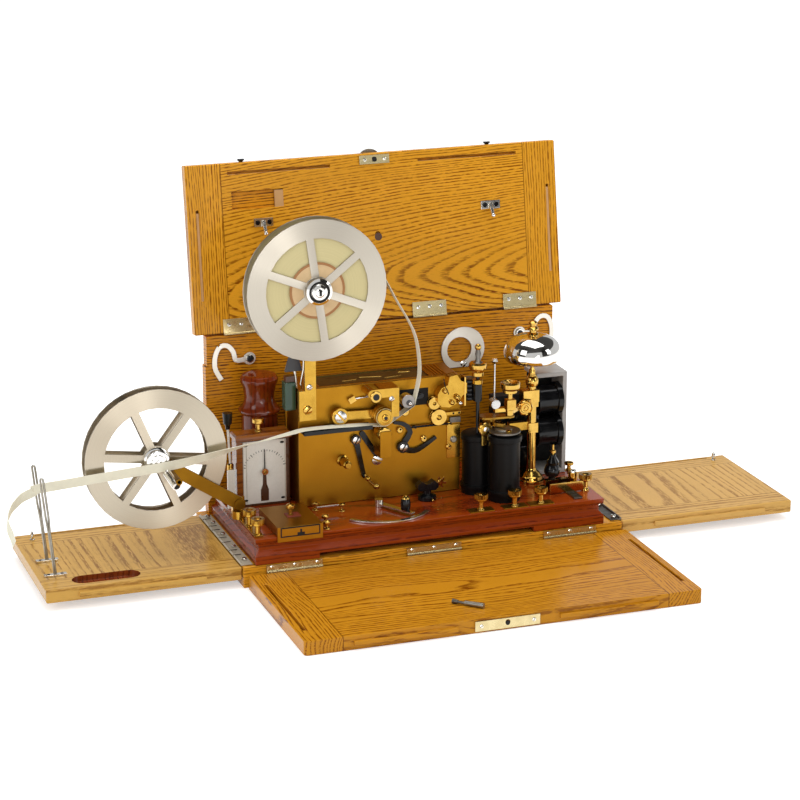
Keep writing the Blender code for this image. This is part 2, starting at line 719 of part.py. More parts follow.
def boolean(body, tools, operation):
    for tool in tools:
        change = body.modifiers.new(operation.title(), "BOOLEAN")
        change.operation = operation
        change.solver = "EXACT"
        change.object = tool
    graph = bpy.context.evaluated_depsgraph_get()
    mesh = bpy.data.meshes.new_from_object(body.evaluated_get(graph))
    body.modifiers.clear()
    body.data = mesh
    for tool in tools:
        bpy.data.objects.remove(tool, do_unlink=True)
    editor = bmesh.new()
    editor.from_mesh(mesh)
    bmesh.ops.remove_doubles(editor, verts=editor.verts, dist=WELD)
    bmesh.ops.dissolve_degenerate(editor, edges=editor.edges, dist=WELD)
    editor.to_mesh(mesh)
    editor.free()
    return body


def fuse(body, *others):
    return boolean(body, others, "UNION")


def cut(body, *cutters):
    return boolean(body, cutters, "DIFFERENCE")


def copy_moved(body, offset):
    """A second object with the same mesh, moved."""
    twin = bpy.data.objects.new("shape", body.data.copy())
    twin.data.transform(Matrix.Translation(offset))
    bpy.context.scene.collection.objects.link(twin)
    return twin


def mirrored(body):
    """The same solid on the other side of the middle of the set."""
    editor = bmesh.new()
    editor.from_mesh(body.data)
    bmesh.ops.scale(editor, vec=(-1, 1, 1), verts=editor.verts)
    bmesh.ops.recalc_face_normals(editor, faces=editor.faces)
    editor.to_mesh(body.data)
    editor.free()
    return body


def principled(name, colour, roughness, metallic):
    surface = bpy.data.materials.new(name)
    surface.use_nodes = True
    shader = surface.node_tree.nodes["Principled BSDF"]
    shader.inputs["Base Color"].default_value = (*colour, 1)
    shader.inputs["Roughness"].default_value = roughness
    shader.inputs["Metallic"].default_value = metallic
    surface.diffuse_color = (*colour, 1)
    return surface


def oak(name):
    return principled(name + "_oak", (0.47, 0.22, 0.06), 0.42, 0.0)


def mahogany(name):
    return principled(name + "_mahogany", (0.16, 0.025, 0.010), 0.22, 0.0)


def walnut(name):
    return principled(name + "_walnut", (0.22, 0.075, 0.018), 0.35, 0.0)


def brass(name):
    return principled(name + "_brass", (0.66, 0.40, 0.10), 0.28, 1.0)


def nickel(name):
    return principled(name + "_nickel", (0.66, 0.64, 0.58), 0.30, 1.0)


def steel(name):
    return principled(name + "_steel", (0.30, 0.29, 0.27), 0.38, 1.0)


def iron(name):
    return principled(name + "_iron", (0.11, 0.11, 0.11), 0.50, 1.0)


def ebonite(name):
    return principled(name + "_ebonite", (0.012, 0.012, 0.013), 0.25, 0.0)


def paper(name):
    return principled(name + "_paper", (0.74, 0.68, 0.50), 0.85, 0.0)


def node(name, body, surface, pivot=(0, 0, 0), lean=0, parent=None):
    """Names a finished solid, puts its origin on its pivot and gives it its surface."""
    mesh = body.data
    mesh.transform(Matrix.Translation(-Vector(pivot)))
    mesh.name = name
    mesh.shade_smooth()
    mesh.set_sharp_from_angle(angle=SMOOTH_ANGLE)
    mesh.materials.clear()
    mesh.materials.append(surface(name))
    body.name = name
    PIVOTS[name] = Vector(pivot)
    body.parent = bpy.data.objects[parent] if parent else bpy.data.objects["field_telegraph_set"]
    body.location = Vector(pivot) - PIVOTS[parent] if parent else pivot
    body.rotation_euler.x = lean
    return body


def on_base(place):
    """A place on the mahogany base, from its shares of the base's width and depth."""
    across, deep = PLACE_SHARES[place] if isinstance(place, str) else place
    return BASE_LEFT + across * BASE_WIDTH, BOARD_FRONT + deep * BASE_DEPTH


def on_face(place):
    """A place on the movement's front plate, as X and Z."""
    across, up = FACE_PLACE_SHARES[place]
    return on_base("movement")[0] + across * MOVEMENT_WIDTH, DECK + up * MOVEMENT_HEIGHT


def face_y():
    """The plane just in front of the movement's front plate."""
    return on_base("movement")[1] - SEAT_GAP


def share_range(low, length, shares):
    return low + shares[0] * length, low + shares[1] * length


def build_case_bottom():
    side = BOARD_WIDTH / 2
    board = box((-side, side), (BOARD_FRONT, BOARD_BACK), (0, BOARD_THICK), BOARD_CHAMFER)
    node("case_bottom", board, oak)


def build_back_wall():
    left = WALL_SHIFT - WALL_WIDTH / 2
    right = WALL_SHIFT + WALL_WIDTH / 2
    shoulder = WALL_TOP - WALL_STEP_HEIGHT
    outline = [
        (left, WALL_BOTTOM), (right, WALL_BOTTOM), (right, shoulder), (right - WALL_STEP, shoulder),
        (right - WALL_STEP, WALL_TOP), (left + WALL_STEP, WALL_TOP), (left + WALL_STEP, shoulder), (
            left, shoulder
        ),
    ]
    node("back_wall", prism(outline, WALL_FRONT, BOARD_BACK), oak)


def lid_face():
    """The plane of the lid's inner face while it is drawn upright."""
    return LID_PIN_Y + LID_FACE_SET_BACK


def lid_bottom():
    """The lid's lower edge, which clears the wall when the lid leans back."""
    drop = (LID_FACE_SET_BACK + LID_THICK) * math.sin(LID_LEAN)
    return LID_PIN_Z + (WALL_TOP + SEAT_GAP - LID_PIN_Z + drop) / math.cos(LID_LEAN)


def lid_slots(face, bottom, top):
    """Slots in the lid's inner face that take the flaps' tongues."""
    depth = (face - CUT_OVERRUN, face + LID_SLOT_DEPTH)
    half = LID_SLOT_WIDTH / 2
    side = LID_WIDTH / 2 - LID_SLOT_INSET
    made = []
    for sign in (-1, 1):
        middle = LID_SHIFT + sign * side
        upright = share_range(bottom, top - bottom, LID_SIDE_SLOT_SHARES)
        made.append(box((middle - half, middle + half), depth, upright))
        ends = sorted(LID_SHIFT + sign * share * LID_WIDTH / 2 for share in LID_TOP_SLOT_SHARES)
        level = top - LID_SLOT_INSET
        made.append(box(ends, depth, (level - half, level + half)))
    return made


def build_lid():
    face = lid_face()
    bottom = lid_bottom()
    top = bottom + LID_HEIGHT
    left = LID_SHIFT - LID_WIDTH / 2
    right = LID_SHIFT + LID_WIDTH / 2
    board = box((left, right), (face, face + LID_THICK), (bottom, top), LID_CHAMFER)
    pocket_x = LID_SHIFT + (LID_POCKET_SHARES[0] - 0.5) * LID_WIDTH
    pocket_z = bottom + LID_POCKET_SHARES[1] * LID_HEIGHT
    pocket = box(
        (pocket_x - LID_POCKET_WIDTH / 2, pocket_x + LID_POCKET_WIDTH / 2),
        (face - CUT_OVERRUN, face + LID_POCKET_DEPTH),
        (pocket_z - LID_POCKET_HEIGHT / 2, pocket_z + LID_POCKET_HEIGHT / 2),
    )
    hole_z = bottom + LID_HOLE_HEIGHT_SHARE * LID_HEIGHT
    hole = rod(
        (LID_SHIFT, face - CUT_OVERRUN, hole_z), (LID_SHIFT, face + LID_POCKET_DEPTH, hole_z), LID_HOLE_RADIUS
    )
    cut(board, pocket, hole, *lid_slots(face, bottom, top))
    node("lid", board, oak, (LID_SHIFT, LID_PIN_Y, LID_PIN_Z), lean=-LID_LEAN)


def on_lid(name, body, surface):
    """A piece drawn upright that leans with the lid and turns about the same pins."""
    node(name, body, surface, (LID_SHIFT, LID_PIN_Y, LID_PIN_Z), parent="lid")


def build_lid_hinges():
    back = lid_face() - SEAT_GAP
    for number, share in enumerate(LID_HINGE_SHARES, start=1):
        middle = LID_SHIFT + share * LID_WIDTH / 2
        ends = (middle - LID_LEAF_WIDTH / 2, middle + LID_LEAF_WIDTH / 2)
        leaf = box(ends, (back - LID_LEAF_THICK, back), (LID_PIN_Z, LID_PIN_Z + LID_LEAF_HEIGHT))
        pin = rod((ends[0], LID_PIN_Y, LID_PIN_Z), (ends[1], LID_PIN_Y, LID_PIN_Z), LID_PIN_RADIUS)
        on_lid(f"lid_hinge_{number}", fuse(leaf, pin), brass)


def build_strike_plate():
    top = lid_bottom() + LID_HEIGHT - STRIKE_TOP_INSET
    back = lid_face() - SEAT_GAP
    half = STRIKE_WIDTH / 2
    plate = box((LID_SHIFT - half, LID_SHIFT + half), (back - STRIKE_THICK, back), (top - STRIKE_HEIGHT, top))
    middle = top - STRIKE_HEIGHT / 2
    hole = STRIKE_HOLE / 2
    through = (back - STRIKE_THICK - CUT_OVERRUN, back + CUT_OVERRUN)
    cut(plate, box((LID_SHIFT - hole, LID_SHIFT + hole), through, (middle - hole, middle + hole)))
    on_lid("strike_plate", plate, brass)


def rounded_front(left, right, front, back, radius, steps=4):
    """A board's plan with its two front corners rounded."""
    half_turn = math.pi / 2
    outline = arc((left + radius, front + radius), radius, math.pi, math.pi + half_turn, steps)
    outline += arc((right - radius, front + radius), radius, -half_turn, 0, steps)
    return outline + [(right, back), (left, back)]


def front_flap_edges():
    back = BOARD_FRONT - FRONT_FLAP_GAP
    half = FRONT_FLAP_WIDTH / 2
    return FRONT_FLAP_SHIFT - half, FRONT_FLAP_SHIFT + half, back - FRONT_FLAP_LENGTH, back


def front_pivot():
    return FRONT_FLAP_SHIFT, FRONT_PIN_Y, FRONT_PIN_HEIGHT


def build_front_flap():
    left, right, front, back = front_flap_edges()
    board = prism(rounded_front(left, right, front, back, FRONT_FLAP_CORNER), 0, FRONT_FLAP_THICK, "Z")
    middle = FRONT_FLAP_THICK / 2
    half_tongue = FLAP_TONGUE_THICK / 2
    added = []
    slots = []
    for sign in (-1, 1):
        ends = sorted(FRONT_FLAP_SHIFT + sign * share * FRONT_FLAP_WIDTH / 2 for share in FRONT_TONGUE_SHARES)
        proud = (front - FLAP_TONGUE_PROUD, front + CUT_OVERRUN)
        added.append(box(ends, proud, (middle - half_tongue, middle + half_tongue)))
        slot_x = FRONT_FLAP_SHIFT + sign * (FRONT_FLAP_WIDTH / 2 - FRONT_SLOT_INSET)
        run = share_range(front, FRONT_FLAP_LENGTH, FRONT_SLOT_SHARES)
        width = (slot_x - LID_SLOT_WIDTH / 2, slot_x + LID_SLOT_WIDTH / 2)
        slots.append(box(width, run, (FRONT_FLAP_THICK - LID_SLOT_DEPTH, FRONT_FLAP_THICK + CUT_OVERRUN)))
    fuse(board, *added)
    cut(board, *slots)
    node("front_flap", board, oak, front_pivot())


def build_front_hinges():
    back = BOARD_FRONT - SEAT_GAP
    top = BOARD_THICK - FRONT_LEAF_TOP_INSET
    for name, share in zip(("left", "middle", "right"), FRONT_HINGE_SHARES):
        middle = share * BOARD_WIDTH / 2
        ends = (middle - FRONT_LEAF_WIDTH / 2, middle + FRONT_LEAF_WIDTH / 2)
        leaf = box(ends, (back - FRONT_LEAF_THICK, back), (FRONT_PIN_HEIGHT, top))
        pin = rod(
            (ends[0], FRONT_PIN_Y, FRONT_PIN_HEIGHT), (ends[1], FRONT_PIN_Y, FRONT_PIN_HEIGHT),
            FRONT_PIN_RADIUS
        )
        node(f"front_hinge_{name}", fuse(leaf, pin), brass)


def build_lock_plate():
    front = front_flap_edges()[2] - SEAT_GAP
    middle = FRONT_FLAP_SHIFT - LOCK_SHIFT
    width = (middle - LOCK_WIDTH / 2, middle + LOCK_WIDTH / 2)
    plate = box(width, (front - LOCK_THICK, front), (LOCK_LIFT, LOCK_LIFT + LOCK_HEIGHT))
    level = LOCK_LIFT + LOCK_HEIGHT * 0.6
    hole = rod(
        (middle, front - LOCK_THICK - CUT_OVERRUN, level), (middle, front + CUT_OVERRUN, level),
        LOCK_HOLE_RADIUS
    )
    cut(plate, hole)
    node("lock_plate", plate, brass, front_pivot(), parent="front_flap")


def side_flap_board():
    """The right flap: a board with a tongue on its front edge and a slot near its back."""
    inner = BOARD_WIDTH / 2 + SIDE_FLAP_GAP
    outer = inner + SIDE_FLAP_LENGTH
    back = FLAP_FRONT + SIDE_FLAP_DEPTH
    low = BOARD_THICK - SIDE_FLAP_THICK
    board = box((inner, outer), (FLAP_FRONT, back), (low, BOARD_THICK), SIDE_FLAP_CHAMFER)
    middle = low + SIDE_FLAP_THICK / 2
    half = FLAP_TONGUE_THICK / 2
    ends = share_range(inner, SIDE_FLAP_LENGTH, SIDE_TONGUE_SHARES)
    tongue = box(
        ends, (FLAP_FRONT - FLAP_TONGUE_PROUD, FLAP_FRONT + CUT_OVERRUN), (middle - half, middle + half)
    )
    slot_y = back - SIDE_SLOT_INSET
    slot = box(
        share_range(inner, SIDE_FLAP_LENGTH, SIDE_SLOT_SHARES),
        (slot_y - LID_SLOT_WIDTH / 2, slot_y + LID_SLOT_WIDTH / 2),
        (BOARD_THICK - LID_SLOT_DEPTH, BOARD_THICK + CUT_OVERRUN),
    )
    fuse(board, tongue)
    return cut(board, slot)


def scoop():
    """The round-ended finger tray sunk in the left flap."""
    inner = BOARD_WIDTH / 2 + SIDE_FLAP_GAP
    near, far = share_range(inner, SIDE_FLAP_LENGTH, SCOOP_SHARES)
    middle = FLAP_FRONT + SCOOP_ACROSS_SHARE * SIDE_FLAP_DEPTH
    radius = SCOOP_WIDTH / 2
    quarter = math.pi / 2
    outline = arc((-far + radius, middle), radius, quarter, 3 * quarter, 6)
    outline += arc((-near - radius, middle), radius, -quarter, quarter, 6)
    return prism(outline, BOARD_THICK - SCOOP_DEPTH, BOARD_THICK + CUT_OVERRUN, "Z")


def build_side_flaps():
    node("right_flap", side_flap_board(), oak, (SIDE_PIN_X, 0, SIDE_PIN_Z))
    left = mirrored(side_flap_board())
    cut(left, scoop())
    node("left_flap", left, oak, (-SIDE_PIN_X, 0, SIDE_PIN_Z))


def side_leaf():
    """The right margin's hinge leaf with its pin barrel at the outer edge."""
    low = BOARD_THICK + SEAT_GAP
    run = share_range(BOARD_FRONT, BOARD_DEPTH, SIDE_LEAF_SHARES)
    leaf = box((SIDE_PIN_X - SIDE_LEAF_WIDTH, SIDE_PIN_X), run, (low, low + SIDE_LEAF_THICK))
    return fuse(
        leaf, rod((SIDE_PIN_X, run[0], SIDE_PIN_Z), (SIDE_PIN_X, run[1], SIDE_PIN_Z), SIDE_PIN_RADIUS)
    )


def build_side_leaves():
    node("right_hinge_leaf", side_leaf(), steel)
    node("left_hinge_leaf", mirrored(side_leaf()), steel)


def build_tape_guides():
    low = BOARD_THICK + SEAT_GAP
    inner = -BOARD_WIDTH / 2 - SIDE_FLAP_GAP
    for name, (out, deep) in zip(("rear", "front"), GUIDE_PLACE_SHARES):
        x = inner - out * SIDE_FLAP_LENGTH
        y = FLAP_FRONT + deep * SIDE_FLAP_DEPTH
        half = GUIDE_PLATE_WIDTH / 2
        top = low + GUIDE_PLATE_THICK
        plate = box(
            (x - GUIDE_PLATE_LENGTH / 2, x + GUIDE_PLATE_LENGTH / 2), (y - half, y + half), (low, top)
        )
        bar = rod(
            (x, y, top - GUIDE_PLATE_THICK / 2), (x - GUIDE_ROD_TILT, y, low + GUIDE_ROD_HEIGHT),
            GUIDE_ROD_RADIUS
        )
        node(f"tape_guide_{name}", fuse(plate, bar), nickel, (-SIDE_PIN_X, 0, SIDE_PIN_Z), parent="left_flap")


def build_hooks():
    back = WALL_FRONT - SEAT_GAP
    front = back - HOOK_THICK
    level = WALL_BOTTOM + HOOK_HEIGHT
    for name, share, sign in (
        ("left_hook", HOOK_PLACE_SHARES[0], 1), ("right_hook", HOOK_PLACE_SHARES[1], -1)
    ):
        x = WALL_SHIFT + share * WALL_WIDTH / 2
        route = [(x + sign * u * HOOK_REACH, level + v * HOOK_RISE) for u, v in HOOK_PATH_SHARES]
        curve = [(point.x, point.y) for point in smooth(route, 2)]
        strip = prism(stroke(curve, [HOOK_WIDTH] * len(curve)), front, back)
        eye = drum(HOOK_EYE_RADIUS, HOOK_THICK, (x, front, level), "Y")
        screw = drum(HOOK_SCREW_RADIUS, HOOK_THICK * 2, (x, back - HOOK_THICK * 2, level), "Y", SMALL_SIDES)
        node(name, fuse(strip, eye, screw), nickel, (x, back, level))


def terminal(place):
    """A turned binding post whose foot is let into what carries it."""
    x, y = on_base(place)
    profile = solid_profile(TERMINAL_SHARES, TERMINAL_RADIUS, TERMINAL_HEIGHT)
    return turned(profile, (x, y, BASE_TOP - SEAT_GAP), sides=SMALL_SIDES)


def build_instrument_base():
    half = BASE_WIDTH / 2
    levels = []
    for rise, inset in BASE_TIER_SHARES:
        drawn_in = inset * BASE_COVE
        across = (BASE_SHIFT - half + drawn_in, BASE_SHIFT + half - drawn_in)
        deep = (BOARD_FRONT + drawn_in, BOARD_FRONT + BASE_DEPTH - drawn_in)
        levels.append((BASE_BOTTOM + rise * BASE_HEIGHT, across, deep))
    base = tiers(levels)
    relief = box(
        share_range(BASE_LEFT, BASE_WIDTH, BASE_RELIEF_SHARES),
        (BOARD_FRONT - CUT_OVERRUN, BOARD_FRONT + BASE_RELIEF_DEPTH),
        (BASE_BOTTOM - CUT_OVERRUN, BASE_BOTTOM + BASE_RELIEF_HEIGHT),
    )
    cut(base, relief)
    posts = [terminal(place) for place in TERMINAL_PLACE_SHARES]
    studs = []
    for place in STUD_PLACE_SHARES:
        x, y = on_base(place)
        profile = solid_profile(STUD_SHARES, STUD_RADIUS, STUD_HEIGHT)
        studs.append(turned(profile, (x, y, BASE_TOP - SEAT_GAP), sides=STUD_SIDES))
    fuse(base, *posts, *studs)
    node("instrument_base", base, mahogany)


def build_movement_case():
    left, front = on_base("movement")
    right = left + MOVEMENT_WIDTH
    back = front + MOVEMENT_DEPTH
    top = DECK + MOVEMENT_HEIGHT
    inset = MOVEMENT_SIDE_INSET
    plate = MOVEMENT_PLATE
    plan = [
        (left, front), (right, front), (right, front + plate), (right - inset, front + plate),
        (right - inset, back - plate), (right, back - plate), (right, back), (left, back),
        (left, back - plate), (left + inset, back - plate), (left + inset, front + plate), (
            left, front + plate
        ),
    ]
    case = prism(plan, DECK, top, "Z")
    well = box(
        share_range(left, MOVEMENT_WIDTH, MOVEMENT_WELL_SHARES),
        (front + MOVEMENT_WELL_RIM, back - MOVEMENT_WELL_RIM),
        (top - MOVEMENT_WELL_DEPTH, top + CUT_OVERRUN),
    )
    cut(case, well)
    x, level = lower_roller_place()
    reach = WRITER_BACK + FEED_WIDTH + FEED_HUB_LENGTH + BEARING_THICK
    half = BEARING_WIDTH / 2
    foot_top = level - BEARING_DROP + BEARING_FOOT
    foot = box((x - half, x + half), (front - reach, front + plate / 2), (level - BEARING_DROP, foot_top))
    hanger = box(
        (x - half, x + half), (front - reach, front - reach + BEARING_THICK), (
            level - BEARING_DROP, level + BEARING_TOP
        )
    )
    fuse(case, foot, hanger)
    node("movement_case", case, brass)


def reel_flange(centre, front, spoke_turn):
    """A disc with a window between each pair of spokes."""
    disc = drum(REEL_RADIUS, REEL_FLANGE_THICK, (centre[0], front, centre[1]), "Y", FINE_SIDES)
    rim = REEL_RADIUS - REEL_RIM
    step = math.tau / REEL_SPOKES
    windows = []
    for number in range(REEL_SPOKES):
        start = spoke_turn + number * step
        at_rim = math.asin(REEL_SPOKE_WIDTH / 2 / rim)
        at_root = math.asin(REEL_SPOKE_WIDTH / 2 / REEL_SPOKE_ROOT)
        outline = arc(centre, rim, start + at_rim, start + step - at_rim, REEL_WINDOW_STEPS)
        outline += arc(centre, REEL_SPOKE_ROOT, start + step - at_root, start + at_root, 2)
        windows.append(prism(outline, front - CUT_OVERRUN, front + REEL_FLANGE_THICK + CUT_OVERRUN))
    return cut(disc, *windows)


def reel(centre, front, width, core, spoke_turn, nut_side):
    """Two flanges on a core, with a hub nut on one side and a blind bore on the other."""
    flange = reel_flange(centre, front, spoke_turn)
    rear = copy_moved(flange, (0, width - REEL_FLANGE_THICK, 0))
    inner = (front + REEL_FLANGE_THICK / 2, width - REEL_FLANGE_THICK)
    fuse(flange, drum(core, inner[1], (centre[0], inner[0], centre[1]), "Y"), rear)
    if nut_side < 0:
        profile = [
            (0, 0), (REEL_CONE_RADIUS, 0), (REEL_CONE_RADIUS, REEL_CONE_LENGTH), (
                REEL_NUT_RADIUS, REEL_CONE_LENGTH
            ),
            (REEL_NUT_RADIUS, REEL_CONE_LENGTH + REEL_NUT_LENGTH + REEL_FLANGE_THICK / 2),
            (0, REEL_CONE_LENGTH + REEL_NUT_LENGTH + REEL_FLANGE_THICK / 2),
        ]
        nut = turned(profile, (centre[0], front - REEL_CONE_LENGTH - REEL_NUT_LENGTH, centre[1]), "Y")
        fuse(flange, nut)
        bore_start = front + width - REEL_BORE_DEPTH
    else:
        bore_start = front - CUT_OVERRUN
    bore = drum(
        REEL_AXLE_RADIUS + RUNNING_GAP, REEL_BORE_DEPTH + CUT_OVERRUN, (centre[0], bore_start, centre[1]),
        "Y",
        SMALL_SIDES,
    )
    return cut(flange, bore)


def supply_centre():
    return on_base("movement")[0] + SUPPLY_ACROSS, DECK + SUPPLY_LIFT


def supply_front():
    return face_y() + SEAT_GAP - SUPPLY_FRONT


def build_supply_reel():
    centre = supply_centre()
    front = supply_front()
    body = reel(centre, front, SUPPLY_WIDTH, SUPPLY_CORE_RADIUS, SUPPLY_SPOKE_TURN, -1)
    node("supply_reel", body, nickel, (centre[0], front, centre[1]))
    low = front + (SUPPLY_WIDTH - ROLL_WIDTH) / 2
    profile = [
        (ROLL_BORE_RADIUS, 0), (ROLL_RADIUS, 0), (ROLL_RADIUS, ROLL_WIDTH), (ROLL_BORE_RADIUS, ROLL_WIDTH)
    ]
    roll = turned(profile, (centre[0], low, centre[1]), "Y", FINE_SIDES, ring=True)
    node("paper_roll", roll, paper, (centre[0], front, centre[1]), parent="supply_reel")


def build_reel_post():
    x, level = supply_centre()
    back = face_y()
    front = back - STRAP_THICK
    left = on_base("movement")[0]
    low = DECK + STRAP_BOTTOM_SHARE * MOVEMENT_HEIGHT
    shoulder = low + STRAP_SHOULDER
    right = left + STRAP_LOWER_WIDTH
    outline = [
        (left, low), (right, low), (right, level), (right - STRAP_UPPER_WIDTH, level),
        (right - STRAP_UPPER_WIDTH, shoulder), (left, shoulder),
    ]
    strap = prism(outline, front, back)
    head = drum(STRAP_HEAD_RADIUS, STRAP_THICK, (x, front, level), "Y")
    end = supply_front() + SUPPLY_WIDTH - REEL_BORE_DEPTH + RUNNING_GAP
    axle = rod((x, end, level), (x, back, level), REEL_AXLE_RADIUS)
    node("reel_post", fuse(strap, head, axle), brass)


def takeup_pivot():
    x = on_base("takeup")[0]
    return x, DECK + TAKEUP_POST_HEIGHT


def takeup_centre():
    x, z = takeup_pivot()
    return x - TAKEUP_OUT, z + TAKEUP_RISE


def takeup_back():
    """The plane of the take-up reel's back flange, which is level with the base's middle."""
    return BOARD_FRONT + BASE_DEPTH / 2


def build_takeup_reel():
    centre = takeup_centre()
    front = takeup_back() - TAKEUP_WIDTH
    body = reel(centre, front, TAKEUP_WIDTH, TAKEUP_CORE_RADIUS, TAKEUP_SPOKE_TURN, 1)
    node("takeup_reel", body, nickel, (centre[0], front, centre[1]))


def build_takeup_arm():
    back = takeup_back() - TAKEUP_WIDTH - RUNNING_GAP
    front = back - ARM_THICK
    hub = takeup_centre()
    pivot = takeup_pivot()
    bar = prism(link(hub, pivot, ARM_WIDTH, ARM_WIDTH), front, back)
    sunk = ARM_THICK / 2
    boss = drum(ARM_HUB_RADIUS, ARM_HUB_LENGTH + sunk, (hub[0], front - ARM_HUB_LENGTH, hub[1]), "Y")
    screw = drum(ARM_SCREW_RADIUS, ARM_SCREW_LENGTH + sunk, (pivot[0], front - ARM_SCREW_LENGTH, pivot[1]),
        "Y",
                 SMALL_SIDES)
    axle = rod(
        (hub[0], front + sunk, hub[1]), (hub[0], back + REEL_BORE_DEPTH - RUNNING_GAP * 2, hub[1]),
        REEL_AXLE_RADIUS
    )
    x = pivot[0] + ARM_PIN_SHARE * (hub[0] - pivot[0]) - ARM_PIN_DROP
    z = pivot[1] + ARM_PIN_SHARE * (hub[1] - pivot[1]) - ARM_PIN_DROP
    pin = rod((x, front - ARM_PIN_LENGTH, z), (x, front + sunk, z), ARM_PIN_RADIUS)
    bore = rod((x, front - ARM_PIN_LENGTH - CUT_OVERRUN, z), (x, front - ARM_PIN_LENGTH / 2, z), ARM_PIN_BORE)
    fuse(bar, boss, screw, axle, pin)
    node("takeup_arm", cut(bar, bore), brass)


def build_takeup_post():
    x, y = on_base("takeup")
    pivot = takeup_pivot()
    back_of_arm = takeup_back() - TAKEUP_WIDTH - RUNNING_GAP
    half = TAKEUP_LUG_WIDTH / 2
    lug_front = back_of_arm + SEAT_GAP
    lug = box((x - half, x + half), (lug_front, lug_front + TAKEUP_LUG_DEPTH), (DECK, pivot[1] + half))
    column = drum(TAKEUP_POST_RADIUS, TAKEUP_POST_HEIGHT / 2, (x, y, DECK))
    rear_x, rear_y = on_base("takeup_terminal_rear")
    front_x, front_y = on_base("takeup_terminal_front")
    half_strip = TAKEUP_STRIP_WIDTH / 2
    strip = box(
        (rear_x - half_strip, rear_x + half_strip), (front_y - half_strip, y),
        (DECK, DECK + TAKEUP_STRIP_THICK)
    )
    profile = solid_profile(TERMINAL_SHARES, TERMINAL_RADIUS, TERMINAL_HEIGHT)
    posts = [
        turned(profile, (u, v, DECK), sides=SMALL_SIDES) for u, v in ((rear_x, rear_y), (front_x, front_y))
    ]
    node("takeup_post", fuse(lug, column, strip, *posts), brass)


def lower_roller_place():
    x, z = on_face("feed")
    return x, z - FEED_RADIUS - NIP_GAP - LOWER_RADIUS


def wrap_angle(first, first_radius, second, second_radius):
    """Where a tape that passes below two round pieces leaves one and meets the other."""
    run = Vector(second) - Vector(first)
    return math.atan2(run.y, run.x) + math.acos((first_radius - second_radius) / run.length)


def channel_levels():
    x, z = on_face("channel")
    return x - CHANNEL_LENGTH / 2, x + CHANNEL_LENGTH / 2, z


def tape_route():
    """Centre points of the tape from the paper roll to its loose end, as X, Y and Z."""
    back = face_y() + SEAT_GAP - TAPE_BACK
    far_back = face_y() + SEAT_GAP - TAPE_BACK_AT_REEL
    clear = TAPE_THICK / 2 + SEAT_GAP
    centre = supply_centre()
    start = arc(centre, ROLL_RADIUS + clear, TAPE_START_ANGLE, TAPE_START_ANGLE, 1)[0]
    pulley = on_face("pulley")
    feed = on_face("feed")
    slack = clear + SEAT_GAP
    leave = wrap_angle(pulley, PULLEY_RADIUS + slack, feed, FEED_RADIUS + clear)
    round_pulley = arc(pulley, PULLEY_RADIUS + slack, 0, leave, 3)
    route = [start]
    landing = round_pulley[0]
    for across, down in TAPE_FALL_SHARES:
        route.append((start[0] + across * (landing[0] - start[0]), start[1] + down * (landing[1] - start[1])))
    route += round_pulley + arc(feed, FEED_RADIUS + clear, leave, -math.pi / 2, 2)
    left, right, level = channel_levels()
    above = level + TAPE_ABOVE_CHANNEL
    route.append((right + TAPE_LIFT_OFF_ROLLER, route[-1][1] + TAPE_LIFT_OFF_ROLLER))
    route.append((right - CHANNEL_LENGTH * 0.15, above - TAPE_LIFT_OFF_ROLLER))
    route.append((right - CHANNEL_LENGTH * 0.55, above))
    route.append((left + CHANNEL_LENGTH * 0.03, above))
    made = [(x, back, z) for x, z in route]
    inner = -BOARD_WIDTH / 2 - SIDE_FLAP_GAP
    guide_x = inner - GUIDE_PLACE_SHARES[0][0] * SIDE_FLAP_LENGTH - GUIDE_ROD_TILT
    for across, down in TAPE_RUN_SHARES:
        x = route[-1][0] + across * (guide_x - route[-1][0])
        y = back + (far_back - back) * min(across / TAPE_SETTLE_SHARE, 1)
        made.append((x, y, above - down * TAPE_RUN_DROP))
    x, y, z = made[-1]
    for out, forward, down in TAPE_TAIL_SHARES:
        made.append((x - out * TAPE_TAIL_OUT, y - forward * TAPE_TAIL_FORWARD, z - down * TAPE_TAIL_DROP))
    return made


def build_paper_tape():
    path = smooth(tape_route(), TAPE_STEPS)
    left = channel_levels()[0]
    full = left - TAPE_TWIST_RUN
    editor = bmesh.new()
    rings = []
    for i, point in enumerate(path):
        run = (path[min(i + 1, len(path) - 1)] - path[max(i - 1, 0)]).normalized()
        share = min(max((left - point.x) / (left - full), 0), 1)
        angle = TAPE_TWIST * share * share * (3 - 2 * share)
        if share > 0:
            upright = Vector((0, 0, -1))
            upright = (upright - upright.dot(run) * run).normalized()
            flat = upright.cross(run)
        else:
            flat = Vector((0, 1, 0))
            flat = (flat - flat.dot(run) * run).normalized()
            upright = run.cross(flat)
        width = flat * math.cos(angle) + upright * math.sin(angle)
        thick = run.cross(width)
        corners = [(-1, -1), (1, -1), (1, 1), (-1, 1)]
        half = (TAPE_WIDTH / 2, TAPE_THICK / 2)
        rings.append(
            [editor.verts.new(point + width * a * half[0] + thick * b * half[1]) for a, b in corners]
        )
    editor.faces.new(rings[0])
    editor.faces.new(rings[-1])
    for first, second in zip(rings, rings[1:]):
        for i in range(4):
            j = (i + 1) % 4
            editor.faces.new((first[i], first[j], second[j], second[i]))
    node("paper_tape", as_object(editor), paper)


